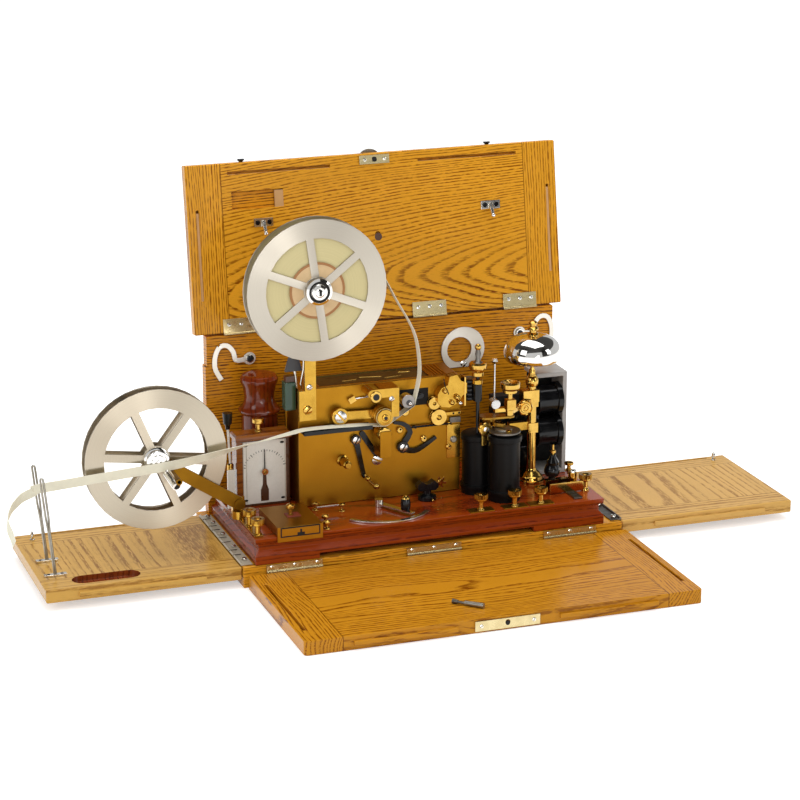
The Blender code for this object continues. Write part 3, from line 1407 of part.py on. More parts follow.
def build_tape_channel():
    left, right, level = channel_levels()
    middle = face_y() + SEAT_GAP - TAPE_BACK
    half = TAPE_WIDTH / 2 + CHANNEL_CLEARANCE
    outer = half + CHANNEL_LIP_THICK
    low = level - CHANNEL_THICK
    top = level + CHANNEL_LIP
    outline = [
        (middle - outer, low), (middle + outer, low), (middle + outer, top), (middle + half, top),
        (middle + half, level), (middle - half, level), (middle - half, top), (middle - outer, top),
    ]
    trough = prism(outline, left, right, "X")
    stay_x = (left + right) / 2
    half_stay = CHANNEL_STAY_WIDTH / 2
    stay = box((stay_x - half_stay, stay_x + half_stay), (middle + half, face_y()), (low, level))
    node("tape_channel", fuse(trough, stay), ebonite)


def feed_front():
    return face_y() + SEAT_GAP - WRITER_BACK - FEED_WIDTH


def build_feed_roller():
    x, z = on_face("feed")
    front = feed_front() - FEED_HUB_LENGTH
    length = FEED_WIDTH + FEED_HUB_LENGTH
    profile = [
        (0, 0), (FEED_HUB_RADIUS, 0), (FEED_HUB_RADIUS, FEED_HUB_LENGTH), (FEED_RADIUS, FEED_HUB_LENGTH),
        (FEED_RADIUS, length), (0, length),
    ]
    roller = turned(profile, (x, front, z), "Y")
    bore = drum(
        PRESSURE_AXLE_RADIUS + RUNNING_GAP, PRESSURE_AXLE_LENGTH + CUT_OVERRUN,
        (x, front + length - PRESSURE_AXLE_LENGTH, z), "Y", SMALL_SIDES,
    )
    node("feed_roller", cut(roller, bore), brass, (x, front, z), parent="pressure_lever")


def build_lower_roller():
    x, z = lower_roller_place()
    front = feed_front()
    shaft = rod((x, front - FEED_HUB_LENGTH + RUNNING_GAP, z), (x, face_y(), z), LOWER_SHAFT_RADIUS)
    body = drum(LOWER_RADIUS, FEED_WIDTH, (x, front, z), "Y")
    node("lower_roller", fuse(body, shaft), brass, (x, front, z))


def build_pressure_lever():
    x, z = on_face("pressure")
    roller = on_face("feed")
    back = feed_front() + FEED_WIDTH + SEAT_GAP + PRESSURE_THICK
    front = back - PRESSURE_THICK
    strip = prism(link((x, z), roller, PRESSURE_WIDTH, PRESSURE_WIDTH), front, back)
    sunk = PRESSURE_THICK / 2
    boss = drum(PRESSURE_BOSS_RADIUS, face_y() - front - sunk, (x, front + sunk, z), "Y")
    screw = drum(PRESSURE_SCREW_RADIUS, PRESSURE_THICK, (x, front - sunk, z), "Y", SMALL_SIDES)
    end = front - PRESSURE_AXLE_LENGTH + RUNNING_GAP * 2
    axle = rod((roller[0], end, roller[1]), (roller[0], front + sunk, roller[1]), PRESSURE_AXLE_RADIUS)
    node("pressure_lever", fuse(strip, boss, screw, axle), brass, (x, front, z))


def build_guide_bracket():
    x, top = on_face("bracket")
    back = face_y() + SEAT_GAP - BRACKET_REACH + BRACKET_THICK
    front = back - BRACKET_THICK
    left = x - BRACKET_BAR_WIDTH
    low = top - BRACKET_BAR_HEIGHT
    outline = [
        (left, low), (x - BRACKET_LEG_WIDTH, low), (x - BRACKET_LEG_WIDTH, top - BRACKET_LEG_DROP),
        (x, top - BRACKET_LEG_DROP), (x, top), (left, top),
    ]
    bar = prism(outline, front, back)
    flange = box((x - BRACKET_FLANGE_WIDTH, x), (front, face_y()), (top - BRACKET_THICK, top))
    level = top - BRACKET_BAR_HEIGHT / 2
    boss = drum(BRACKET_BOSS_RADIUS, face_y() - front, (left, front, level), "Y")
    node("guide_bracket", fuse(bar, flange, boss), brass)


def build_guide_pulley():
    x, z = on_face("pulley")
    front = face_y() + SEAT_GAP - TAPE_BACK - PULLEY_WIDTH / 2
    rim = PULLEY_RADIUS
    edge = PULLEY_WIDTH * 0.12
    profile = [
        (0, 0), (rim - PULLEY_GROOVE, 0), (rim, edge), (rim, PULLEY_WIDTH - edge),
        (rim - PULLEY_GROOVE, PULLEY_WIDTH), (LOWER_SHAFT_RADIUS, PULLEY_WIDTH),
        (LOWER_SHAFT_RADIUS, face_y() - front), (0, face_y() - front),
    ]
    node("guide_pulley", turned(profile, (x, front, z), "Y", 16), nickel, (x, front, z))


def build_start_lever():
    x, z = on_face("start")
    back = face_y()
    front = back - START_THICK
    tip = (x + START_OUT, z - START_LENGTH)
    strip = prism(link((x, z), tip, START_WIDTH, START_TIP_WIDTH, 3), front, back)
    boss = drum(START_BOSS_RADIUS, START_THICK, (x, front - START_THICK / 3, z), "Y", SMALL_SIDES)
    joint = ball((tip[0], front, tip[1]), START_KNOB_RADIUS * 0.8, STUD_SIDES)
    end = (tip[0] + START_KNOB_OUT, front - START_KNOB_FORWARD, tip[1] - START_KNOB_DROP)
    stem = rod((tip[0], front, tip[1]), end, START_KNOB_RADIUS / 2, STUD_SIDES)
    knob = ball(end, START_KNOB_RADIUS, STUD_SIDES)
    node("start_lever", fuse(strip, boss, joint, stem, knob), ebonite, (x, front, z))


def build_winding_arbor():
    x, z = on_face("winding")
    back = face_y()
    profile = solid_profile(WINDING_SHARES, WINDING_RADIUS, WINDING_LENGTH)
    turned_out = [(radius, WINDING_LENGTH - height) for radius, height in profile]
    node(
        "winding_arbor", turned(turned_out, (x, back - WINDING_LENGTH, z), "Y", SMALL_SIDES), brass,
        (x, back, z)
    )


def build_writing_lever():
    x, z = on_face("writing")
    back = face_y()
    front = back - WRITING_THICK
    route = [(x + u * WRITING_REACH, z + v * WRITING_RISE) for u, v in WRITING_PATH_SHARES]
    curve = [(point.x, point.y) for point in smooth(route, 3)]
    widths = []
    for i in range(len(curve)):
        place = i / 3
        low = min(int(place), len(WRITING_WIDTH_SHARES) - 2)
        share = place - low
        width = WRITING_WIDTH_SHARES[low] * (1 - share) + WRITING_WIDTH_SHARES[low + 1] * share
        widths.append(WRITING_WIDTH * width)
    strip = prism(stroke(curve, widths), front, back)
    hub = drum(WRITING_HUB_RADIUS, WRITING_THICK * 1.6, (x, back - WRITING_THICK * 1.6, z), "Y", SMALL_SIDES)
    node("writing_lever", fuse(strip, hub), ebonite, (x, front, z))


def build_ink_well():
    x, z = on_face("ink")
    back = face_y()
    outline = [(x + u * INK_WIDTH, z + v * INK_HEIGHT) for u, v in INK_OUTLINE_SHARES]
    scroll = prism(outline, back - INK_DEPTH, back)
    right = on_base("movement")[0] + MOVEMENT_WIDTH
    drum_x = right + INK_DRUM_RADIUS + RUNNING_GAP
    profile = []
    for rib in range(INK_DRUM_RIBS):
        low = rib * INK_DRUM_HEIGHT / INK_DRUM_RIBS
        pitch = INK_DRUM_HEIGHT / INK_DRUM_RIBS
        profile += [(INK_DRUM_RIB_SHARE * INK_DRUM_RADIUS, low), (INK_DRUM_RADIUS, low + pitch * 0.3)]
        profile += [(INK_DRUM_RADIUS, low + pitch * 0.7)]
    profile = [(0, 0)] + profile + [
        (INK_DRUM_RIB_SHARE * INK_DRUM_RADIUS, INK_DRUM_HEIGHT), (0, INK_DRUM_HEIGHT)
    ]
    level = z + INK_HEIGHT * 0.16
    pot = turned(profile, (drum_x, back - INK_DEPTH / 2, level), sides=SMALL_SIDES)
    node("ink_well", fuse(scroll, pot), brass)


def build_coils():
    x, y = on_base("coil_right")
    right = turned(solid_profile(COIL_SHARES, COIL_RIGHT_RADIUS, COIL_RIGHT_HEIGHT), (x, y, DECK))
    node("coil_right", right, ebonite)
    x, y = on_base("coil_left")
    left = turned(solid_profile(COIL_SHARES, COIL_LEFT_RADIUS, COIL_LEFT_HEIGHT), (x, y, DECK))
    shares = list(ADJUSTER_NUT_SHARES) + list(ADJUSTER_TOP_SHARES)
    profile = [(max(share * ADJUSTER_NUT_RADIUS, 0), rise * ADJUSTER_LENGTH) for share, rise in shares]
    profile.insert(1, (ADJUSTER_NUT_RADIUS * 0.30, 0))
    foot = DECK + COIL_LEFT_HEIGHT * 0.985
    across, deep = ADJUSTER_PLACE_SHARES
    adjuster_place = (x + across * COIL_LEFT_RADIUS, y + deep * COIL_LEFT_RADIUS, foot)
    adjuster = turned(profile, adjuster_place, sides=SMALL_SIDES)
    node("coil_left", fuse(left, adjuster), ebonite)


def armature_place():
    """The armature's middle, over the gap between the two coils."""
    right = on_base("coil_right")
    left = on_base("coil_left")
    level = DECK + COIL_RIGHT_HEIGHT + ARMATURE_LIFT
    return (right[0] + left[0]) / 2, (right[1] + left[1]) / 2, level


def build_armature_lever():
    x, y, low = armature_place()
    along = (math.cos(ARMATURE_TURN), math.sin(ARMATURE_TURN))
    run = [-1, -0.6, 0, 0.6, 1]
    path = [(x + along[0] * t * ARMATURE_HALF_LENGTH, y + along[1] * t * ARMATURE_HALF_LENGTH) for t in run]
    widths = [ARMATURE_WIDTH * share for share in ARMATURE_WIDTH_SHARES]
    plate = prism(stroke(path, widths), low, low + ARMATURE_THICK, "Z")
    nut = drum(ARMATURE_NUT_RADIUS, ARMATURE_NUT_HEIGHT, (x, y, low + ARMATURE_THICK / 2), sides=SMALL_SIDES)
    node("armature_lever", fuse(plate, nut), nickel, (x, y, low + ARMATURE_THICK / 2))


def pillar_ball_level():
    return DECK + PILLAR_HEIGHT + PILLAR_BALL_RADIUS * PILLAR_BALL_SEAT_SHARE


def build_contact_pillar():
    x, y = on_base("pillar")
    profile = [
        (0, 0), (PILLAR_FLANGE_RADIUS, 0), (PILLAR_FLANGE_RADIUS, PILLAR_FLANGE_HEIGHT * 0.6),
        (PILLAR_RADIUS, PILLAR_FLANGE_HEIGHT), (PILLAR_RADIUS, PILLAR_HEIGHT), (0, PILLAR_HEIGHT),
    ]
    pillar = turned(profile, (x, y, DECK), sides=16)
    level = DECK + CLAMP_LIFT_SHARES[1] * PILLAR_HEIGHT
    end = (x - CONTACT_ARM_OUT, y - CONTACT_ARM_FORWARD)
    arm_low = level - CONTACT_ARM_THICK / 2
    added = [prism(stroke([(x, y), end], [CONTACT_ARM_WIDTH] * 2), arm_low, arm_low + CONTACT_ARM_THICK, "Z")]
    boss_low = arm_low - CONTACT_ARM_THICK * 0.15
    added.append(drum(CONTACT_ARM_WIDTH * 0.8, CONTACT_ARM_THICK * 1.3, (*end, boss_low), sides=SMALL_SIDES))
    added.append(
        rod((*end, level - CONTACT_SCREW_DROP), (*end, level + CONTACT_SCREW_RISE), CONTACT_SCREW_RADIUS)
    )
    nut_low = level + CONTACT_SCREW_RISE * 0.72
    added.append(drum(CONTACT_NUT_RADIUS, CONTACT_NUT_HEIGHT, (*end, nut_low), sides=16))
    clapper_x, clapper_y, _ = clapper_place()
    arm_low = DECK + CLAPPER_ARM_LIFT
    route = [(x, y), (clapper_x, clapper_y)]
    added.append(prism(stroke(route, [CLAPPER_ARM_WIDTH] * 2), arm_low, arm_low + CLAPPER_ARM_THICK, "Z"))
    half = CLAMP_SIZE / 2
    for share, height in zip(CLAMP_LIFT_SHARES, (CLAMP_HEIGHT_LOWER, CLAMP_HEIGHT_UPPER)):
        level = DECK + share * PILLAR_HEIGHT
        heights = (level - height / 2, level + height / 2)
        added.append(box((x - half, x + half), (y - half, y + half * 0.8), heights))
    added.append(ball((x, y, pillar_ball_level()), PILLAR_BALL_RADIUS))
    node("contact_pillar", fuse(pillar, *added), brass)


def clapper_place():
    x, y = on_base("clapper")
    return x, y, DECK + CLAPPER_ARM_LIFT + CLAPPER_ARM_THICK + SEAT_GAP + CLAPPER_HUB_RADIUS


def bell_foot():
    return pillar_ball_level() + PILLAR_BALL_RADIUS + SEAT_GAP


def gong_bottom():
    return bell_foot() + BELL_POST_HEIGHT + SEAT_GAP - GONG_HEIGHT + GONG_WALL


def build_bell():
    x, y = on_base("pillar")
    post = turned(solid_profile(BELL_POST_SHARES, BELL_POST_RADIUS, BELL_POST_HEIGHT), (x, y, bell_foot()),
                  sides=SMALL_SIDES)
    node("bell_post", post, steel)
    outer = [(share * GONG_RADIUS, rise * GONG_HEIGHT) for share, rise in GONG_SHARES]
    inner = [(max(radius - GONG_WALL, 0), max(height - GONG_WALL, 0)) for radius, height in outer]
    top = [
        (share * GONG_CAP_RADIUS, GONG_HEIGHT + rise * GONG_STEM_HEIGHT) for share, rise in GONG_STEM_SHARES
    ]
    profile = [(0, GONG_HEIGHT - GONG_WALL)] + inner[-2::-1] + outer[:-1] + top + [
        (0, GONG_HEIGHT + GONG_STEM_HEIGHT)
    ]
    gong = turned(profile, (x, y, gong_bottom()), sides=ROUND_SIDES + 4)
    node("bell_gong", gong, brass)
    clapper_x, clapper_y, level = clapper_place()
    hub = drum(CLAPPER_HUB_RADIUS, CLAPPER_HUB_LENGTH,
        (clapper_x, clapper_y - CLAPPER_HUB_LENGTH / 2, level), "Y",
               SMALL_SIDES)
    tip = level + CLAPPER_ROD_LENGTH
    wire = rod((clapper_x, clapper_y, level), (clapper_x, clapper_y, tip), CLAPPER_ROD_RADIUS, STUD_SIDES)
    bob = ball((clapper_x, clapper_y, tip), CLAPPER_BALL_RADIUS, STUD_SIDES)
    node("bell_clapper", fuse(hub, wire, bob), brass, (clapper_x, clapper_y, level))


def build_ring_plate():
    x = WALL_SHIFT + RING_ACROSS_SHARE * WALL_WIDTH / 2
    level = WALL_BOTTOM + RING_LIFT
    back = WALL_FRONT - SEAT_GAP
    plate = drum(RING_RADIUS, RING_THICK, (x, back - RING_THICK, level), "Y", 32)
    through = (back - RING_THICK - CUT_OVERRUN, back + CUT_OVERRUN)
    hole = drum(RING_BORE, through[1] - through[0], (x - RING_BORE_SHIFT, through[0], level), "Y")
    flat = box(
        (x - RING_RADIUS * 2, x + RING_RADIUS * 2), through, (level - RING_RADIUS * 2, level - RING_FLAT)
    )
    node("ring_plate", cut(plate, hole, flat), nickel)


def build_relay():
    x, y = on_base("relay")
    half = RELAY_DEPTH / 2
    left = x - RELAY_WIDTH / 2
    right = x + RELAY_WIDTH / 2
    top = DECK + RELAY_HEIGHT
    iron_thick = RELAY_IRON
    outline = [
        (left, DECK), (right, DECK), (right, top), (left, top), (left, top - iron_thick),
        (right - iron_thick, top - iron_thick), (right - iron_thick, DECK + iron_thick), (
            left, DECK + iron_thick
        ),
    ]
    node("relay_frame", prism(outline, y - half, y + half), iron)
    start = right - iron_thick - SEAT_GAP - RELAY_COIL_LENGTH
    coil_y = y - RELAY_COIL_FORWARD
    profile = solid_profile(RELAY_SHARES, RELAY_COIL_RADIUS, RELAY_COIL_LENGTH)
    levels = [DECK + share * RELAY_HEIGHT for share in RELAY_COIL_LIFT_SHARES]
    coils, upper = [turned(profile, (start, coil_y, level), "X") for level in levels]
    yoke_y = (coil_y - RELAY_YOKE_WIDTH / 2, coil_y + RELAY_YOKE_WIDTH / 2)
    yoke = box((start - RELAY_YOKE_THICK, start + RELAY_YOKE_THICK), yoke_y, levels)
    fuse(coils, upper, yoke)
    node("relay_coils", coils, ebonite)


def build_galvanometer():
    x, front = on_base("galvanometer")
    half = GALVO_WIDTH / 2
    back = front + GALVO_DEPTH
    top = DECK + GALVO_HEIGHT
    proud = GALVO_CAP_PROUD
    slope = proud - GALVO_CAP_SLOPE
    cap_top = top + GALVO_CAP_HEIGHT
    case = tiers([
        (DECK, (x - half, x + half), (front, back)),
        (top, (x - half, x + half), (front, back)),
        (top, (x - half - slope, x + half + slope), (front - proud, back + slope)),
        (cap_top - GALVO_CAP_SLOPE, (x - half - slope, x + half + slope), (front - proud, back + slope)),
        (cap_top, (x - half, x + half), (front - slope, back)),
    ])
    dial_x = x + GALVO_DIAL_SHIFT
    half_dial = GALVO_DIAL_WIDTH / 2
    dial_low = DECK + (GALVO_HEIGHT - GALVO_DIAL_HEIGHT) / 2
    face = front + GALVO_DIAL_RECESS
    recess = box(
        (dial_x - half_dial, dial_x + half_dial), (front - CUT_OVERRUN, face), (
            dial_low, dial_low + GALVO_DIAL_HEIGHT
        )
    )
    cut(case, recess)
    bottle_low = DECK + GALVO_PIVOT_LIFT - GALVO_BOTTLE_HEIGHT
    outline = [
        (dial_x + u * GALVO_BOTTLE_WIDTH, bottle_low + v * GALVO_BOTTLE_HEIGHT) for u,
        v in GALVO_BOTTLE_SHARES
    ]
    bottle = prism(outline, face - GALVO_BOTTLE_PROUD, face + GALVO_BOTTLE_PROUD)
    knob_y = (front + back) / 2
    knob = turned(solid_profile(TERMINAL_SHARES, GALVO_KNOB_RADIUS, GALVO_KNOB_HEIGHT),
                  (x - half * 0.08, knob_y, cap_top - SEAT_GAP), sides=SMALL_SIDES)
    fuse(case, bottle, knob)
    node("galvanometer_case", case, walnut)
    pivot_z = DECK + GALVO_PIVOT_LIFT
    needle_back = face - GALVO_BOTTLE_PROUD - SEAT_GAP
    needle_front = needle_back - NEEDLE_THICK
    route = [(dial_x, pivot_z), (dial_x, pivot_z + NEEDLE_LENGTH)]
    strip = prism(stroke(route, [NEEDLE_WIDTH, NEEDLE_WIDTH / 3]), needle_front, needle_back)
    hub = drum(
        NEEDLE_HUB_RADIUS, NEEDLE_THICK * 2, (dial_x, needle_back - NEEDLE_THICK * 2, pivot_z), "Y",
        SMALL_SIDES
    )
    node("galvanometer_needle", fuse(strip, hub), steel, (dial_x, needle_front, pivot_z))


def build_handset():
    x, y = on_base("handset")
    node(
        "handset", turned(solid_profile(HANDSET_SHARES, HANDSET_RADIUS, HANDSET_HEIGHT), (x, y, DECK)),
        mahogany
    )


def build_arrester_box():
    x = on_base("arrester")[0]
    half = ARRESTER_WIDTH / 2
    front = BOARD_FRONT - SEAT_GAP
    low = BASE_TOP - ARRESTER_PLATE_DROP
    top = DECK + ARRESTER_HEIGHT
    body = box((x - half, x + half), (front, BOARD_FRONT + ARRESTER_DEPTH), (DECK, top))
    plate = box((x - half, x + half), (front - ARRESTER_PLATE_THICK, front), (low, top))
    slot_x = share_range(x - half, ARRESTER_WIDTH, ARRESTER_SLOT_SHARES)
    outer = front - ARRESTER_PLATE_THICK
    level = (low + top) / 2
    half_slot = ARRESTER_SLOT_HEIGHT / 2
    lift = (top - level - half_slot) / 2
    slot = box(slot_x, (outer - CUT_OVERRUN, outer + ARRESTER_SLOT_DEPTH / 2),
               (level - half_slot + lift, level + half_slot + lift))
    knob_y = BOARD_FRONT + ARRESTER_DEPTH / 2
    knob = turned(solid_profile(TERMINAL_SHARES, ARRESTER_KNOB_RADIUS, ARRESTER_KNOB_HEIGHT),
                  (x, knob_y, top - SEAT_GAP), sides=SMALL_SIDES)
    fuse(body, plate, knob)
    node("arrester_box", cut(body, slot), brass)


def build_rotary_switch():
    centre = on_base("switch")
    inner = SWITCH_ARC_RADIUS - SWITCH_ARC_WIDTH / 2
    outer = SWITCH_ARC_RADIUS + SWITCH_ARC_WIDTH / 2
    outline = arc(centre, inner, SWITCH_ARC_START, SWITCH_ARC_END, SWITCH_ARC_STEPS)
    outline += arc(centre, outer, SWITCH_ARC_END, SWITCH_ARC_START, SWITCH_ARC_STEPS)
    strip = prism(outline, DECK, DECK + SWITCH_ARC_THICK, "Z")
    node("rotary_switch_base", strip, steel)
    low = DECK + SWITCH_ARC_THICK + RUNNING_GAP
    along = Vector((math.cos(SWITCH_ARM_ANGLE), math.sin(SWITCH_ARM_ANGLE)))
    tip = Vector(centre) + along * SWITCH_ARM_LENGTH
    arm = prism(
        stroke([centre, tuple(tip)], [SWITCH_ARM_WIDTH, SWITCH_ARM_WIDTH * 0.7]), low,
        low + SWITCH_ARM_THICK, "Z"
    )
    grip = Vector(centre) + along * SWITCH_HANDLE_OUT
    handle = turned(solid_profile(SWITCH_HANDLE_SHARES, SWITCH_HANDLE_RADIUS, SWITCH_HANDLE_HEIGHT),
                    (*grip, low + SWITCH_ARM_THICK / 2), sides=16)
    post = drum(SWITCH_PIVOT_RADIUS, SWITCH_NUT_HEIGHT + low - DECK, (*centre, DECK), sides=SMALL_SIDES)
    node("rotary_switch_arm", fuse(arm, handle, post), brass, (*centre, low))


def build_plug_switch():
    x, y = on_base("plug")
    foot = turned([
        (0, 0), (PLUG_FOOT_RADIUS, 0), (PLUG_FOOT_RADIUS, PLUG_FOOT_HEIGHT), (
            PLUG_NECK_RADIUS, PLUG_FOOT_HEIGHT * 1.6
        ),
        (PLUG_NECK_RADIUS, PLUG_HEIGHT * 0.6), (0, PLUG_HEIGHT * 0.6),
    ], (x, y, DECK), sides=16)
    outline = [(x + u * PLUG_WIDTH, DECK + v * PLUG_HEIGHT) for u, v in PLUG_WING_SHARES]
    wings = prism(outline, y - PLUG_DEPTH / 2, y + PLUG_DEPTH / 2)
    node("plug_switch", fuse(foot, wings), ebonite)


def build_key():
    x, y = on_base("key")
    pillar = turned([
        (0, 0), (KEY_PILLAR_RADIUS * 1.3, 0), (KEY_PILLAR_RADIUS, KEY_PILLAR_HEIGHT * 0.12),
        (KEY_PILLAR_RADIUS, KEY_PILLAR_HEIGHT), (KEY_PILLAR_RADIUS * 0.6, KEY_PILLAR_HEIGHT * 1.08),
        (0, KEY_PILLAR_HEIGHT * 1.08),
    ], (x, y, DECK), sides=16)
    top = DECK + KEY_PILLAR_HEIGHT
    ear_y = (y, y + KEY_EAR_LENGTH)
    ear = box(
        (x - KEY_PILLAR_RADIUS / 2, x + KEY_PILLAR_RADIUS / 2), ear_y, (top - KEY_PILLAR_HEIGHT / 4, top)
    )
    screw = turned(solid_profile(TERMINAL_SHARES, KEY_SCREW_RADIUS, KEY_SCREW_HEIGHT),
                   (x, ear_y[1], top - SEAT_GAP), sides=SMALL_SIDES)
    pad = drum(KEY_PILLAR_RADIUS, KEY_PILLAR_RADIUS / 4,
        (x, ear_y[1], top - SEAT_GAP - KEY_PILLAR_RADIUS / 4),
               sides=SMALL_SIDES)
    node("key_base", fuse(pillar, ear, screw, pad), brass)
    right = x - KEY_PILLAR_RADIUS - RUNNING_GAP
    left = right - KEY_LEVER_LENGTH
    low = DECK + KEY_LEVER_LIFT
    half = KEY_LEVER_WIDTH / 2
    bar = box((left, right), (y - half, y + half), (low, low + KEY_LEVER_HEIGHT))
    knob_x = left + KEY_KNOB_RADIUS
    knob = turned(solid_profile(KEY_KNOB_SHARES, KEY_KNOB_RADIUS, KEY_KNOB_HEIGHT),
                  (knob_x, y, low + KEY_LEVER_HEIGHT - SEAT_GAP), sides=16)
    node("key_lever", fuse(bar, knob), brass, (right, y, low + KEY_LEVER_HEIGHT / 2))
    x, y = on_base("key_plate")
    plate = box((x - KEY_PLATE_WIDTH / 2, x + KEY_PLATE_WIDTH / 2),
                (y - KEY_PLATE_LENGTH / 2, y + KEY_PLATE_LENGTH / 2), (DECK, DECK + KEY_PLATE_THICK))
    slots = []
    for share in (-0.18, 0.12):
        level = y + share * KEY_PLATE_LENGTH
        slots.append(box((x - KEY_PLATE_WIDTH * 0.3, x + KEY_PLATE_WIDTH * 0.3),
                         (level - KEY_PLATE_SLOT / 2, level + KEY_PLATE_SLOT / 2),
                         (DECK + KEY_PLATE_THICK / 2, DECK + KEY_PLATE_THICK + CUT_OVERRUN)))
    node("terminal_plate", cut(plate, *slots), iron)


def build():
    clear_scene()
    root = bpy.data.objects.new("field_telegraph_set", None)
    bpy.context.scene.collection.objects.link(root)
    build_case_bottom()
    build_back_wall()
    build_lid()
    build_lid_hinges()
    build_strike_plate()
    build_front_flap()
    build_front_hinges()
    build_lock_plate()
    build_side_flaps()
    build_side_leaves()
    build_tape_guides()
    build_hooks()
    build_instrument_base()
    build_movement_case()
    build_supply_reel()
    build_reel_post()
    build_takeup_reel()
    build_takeup_arm()
    build_takeup_post()
    build_paper_tape()
    build_tape_channel()
    build_pressure_lever()
    build_feed_roller()
    build_lower_roller()
    build_guide_bracket()
    build_guide_pulley()
    build_start_lever()
    build_winding_arbor()
    build_writing_lever()
    build_ink_well()
    build_coils()
    build_armature_lever()
    build_contact_pillar()
    build_bell()
    build_ring_plate()
    build_relay()
    build_galvanometer()
    build_handset()
    build_arrester_box()
    build_rotary_switch()
    build_plug_switch()
    build_key()


build()
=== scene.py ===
# Looks of a field telegraph set: an oak case opened flat round a tape-writing telegraph.
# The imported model's frame: +X to the right, +Y to the back wall, +Z up. Vectors, the camera, the studio and
# the materials are in metres. Plain numbers that give the shapes and places of pieces are in millimetres.
import json
import math

import bmesh
import bpy
from mathutils import Matrix, Vector
from mathutils.bvhtree import BVHTree


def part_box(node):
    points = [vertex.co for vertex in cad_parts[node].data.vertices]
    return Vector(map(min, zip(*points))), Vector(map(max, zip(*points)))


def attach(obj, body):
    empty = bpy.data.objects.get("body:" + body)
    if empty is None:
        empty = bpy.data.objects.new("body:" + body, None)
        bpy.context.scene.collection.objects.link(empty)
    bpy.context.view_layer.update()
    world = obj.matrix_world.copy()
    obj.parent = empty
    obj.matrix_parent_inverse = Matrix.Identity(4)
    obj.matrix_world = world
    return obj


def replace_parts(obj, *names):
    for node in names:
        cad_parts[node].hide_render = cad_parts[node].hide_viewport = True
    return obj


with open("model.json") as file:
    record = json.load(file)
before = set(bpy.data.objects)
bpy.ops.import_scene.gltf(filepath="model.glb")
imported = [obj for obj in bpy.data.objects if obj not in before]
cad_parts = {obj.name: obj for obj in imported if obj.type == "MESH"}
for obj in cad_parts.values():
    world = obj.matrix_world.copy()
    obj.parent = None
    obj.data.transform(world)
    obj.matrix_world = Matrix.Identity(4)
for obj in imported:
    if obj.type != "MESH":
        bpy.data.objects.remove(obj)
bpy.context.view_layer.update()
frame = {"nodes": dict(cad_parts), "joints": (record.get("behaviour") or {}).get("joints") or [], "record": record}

NODES = frame["nodes"]
BODY_OF = {node: body for body, nodes in frame["record"]["behaviour"]["bodies"].items() for node in nodes}
JOINTS = {joint["name"]: joint for joint in frame["joints"]}

# Camera, matched to the photograph
PHOTO_PIXELS = 800
FOCAL_PIXELS = 2640.7
CAMERA_PLACE = (-0.8584, -2.3876, 0.9222)
CAMERA_TURN = math.radians(19.540)
CAMERA_DIP = math.radians(16.973)
CAMERA_ROLL = math.radians(0.019)
SENSOR_WIDTH = 36.0

# Studio
FLOOR_HALF = 14.0
FLOOR_DROP = 0.0002
FLOOR_COLOUR = (0.90, 0.90, 0.90)
FLOOR_GLOW = 0.48
WORLD_COLOUR = (0.97, 0.985, 1.0)
WORLD_STRENGTH = 0.66
# Name, place, target, width and height, and watts
SOFTBOXES = (
    ("overhead_softbox", (0.2, 0.1, 2.4), (0.0, 0.0, 0.0), (2.2, 1.6), 28.0),
    ("left_softbox", (-2.4, -1.4, 1.5), (0.0, 0.0, 0.1), (1.2, 1.6), 17.0),
    ("right_softbox", (2.2, -1.8, 1.3), (0.0, 0.0, 0.1), (0.8, 1.4), 10.0),
)
# Small lamps that only glossy surfaces see: name, and the way to the lamp
SPARKS = (("upper_spark", (0.068, -0.988, 0.138)), ("left_spark", (-0.076, -0.997, 0.010)))
SPARK_DISTANCE = 3.0
SPARK_TARGET = (-0.15, -0.02, 0.2)
SPARK_SIZE = (0.30, 0.30)
SPARK_POWER = 7.0
DARK_CARD_COLOUR = (0.02, 0.018, 0.015)
DARK_CARDS = (
    ("dark_ceiling", [(-5, -5, 3.0), (5, -5, 3.0), (5, 5, 3.0), (-5, 5, 3.0)]),
    ("dark_left_screen", [(-3.0, -2.6, 0.2), (-3.6, -0.2, 0.2), (-3.6, -0.2, 3.0), (-3.0, -2.6, 3.0)]),
    ("dark_right_screen", [(1.4, -4.0, 0.3), (3.4, -2.9, 0.3), (3.4, -2.9, 3.0), (1.4, -4.0, 3.0)]),
)

# Shapes
FUSE = 0.00001
SHARP = math.radians(34)
FLAT = math.radians(0.6)
ROUND_SIDES = 40
SMALL_SIDES = 20
END_STEPS = 8
NUT_TEETH = 40
TOOTH_ROOT = 0.93
RIM_SHARE = 0.3
QUARTER = math.pi / 2
FRONT = Vector((0, -1, 0))
RIGHT = Vector((1, 0, 0))
UP = Vector((0, 0, 1))

# Millimetres: how deep small pieces sink in, the lid's face behind its pins, the base board's top, and the
# places before and above the object from which its surfaces are looked for
DISC_SINK = 0.4
HINGE_SCREW_SINK = 0.45
LID_FACE_BACK = 1.7
DECK = 48.8
IN_FRONT = -500
ABOVE = 1000

LID_LEAN = math.radians(9.1)
LID_PIVOT = Vector(JOINTS["lid_fold"]["pos_m"])
LID_BACK = Matrix.Rotation(-LID_LEAN, 3, "X")
LID_FACING = LID_BACK @ FRONT
LID_UP = LID_BACK @ UP


def mm(*lengths):
    """A place or a step in metres, from millimetres."""
    return Vector([length / 1000 for length in lengths])


def low_corner(node):
    """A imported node's lowest corner in metres."""
    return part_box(node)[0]


def high_corner(node):
    """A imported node's highest corner in metres."""
    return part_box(node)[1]


def middle(node):
    """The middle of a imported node's box in metres."""
    low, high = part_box(node)
    return (low + high) / 2


def box_mm(node):
    """A node's lowest and highest corners in millimetres."""
    return [corner * 1000 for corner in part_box(node)]


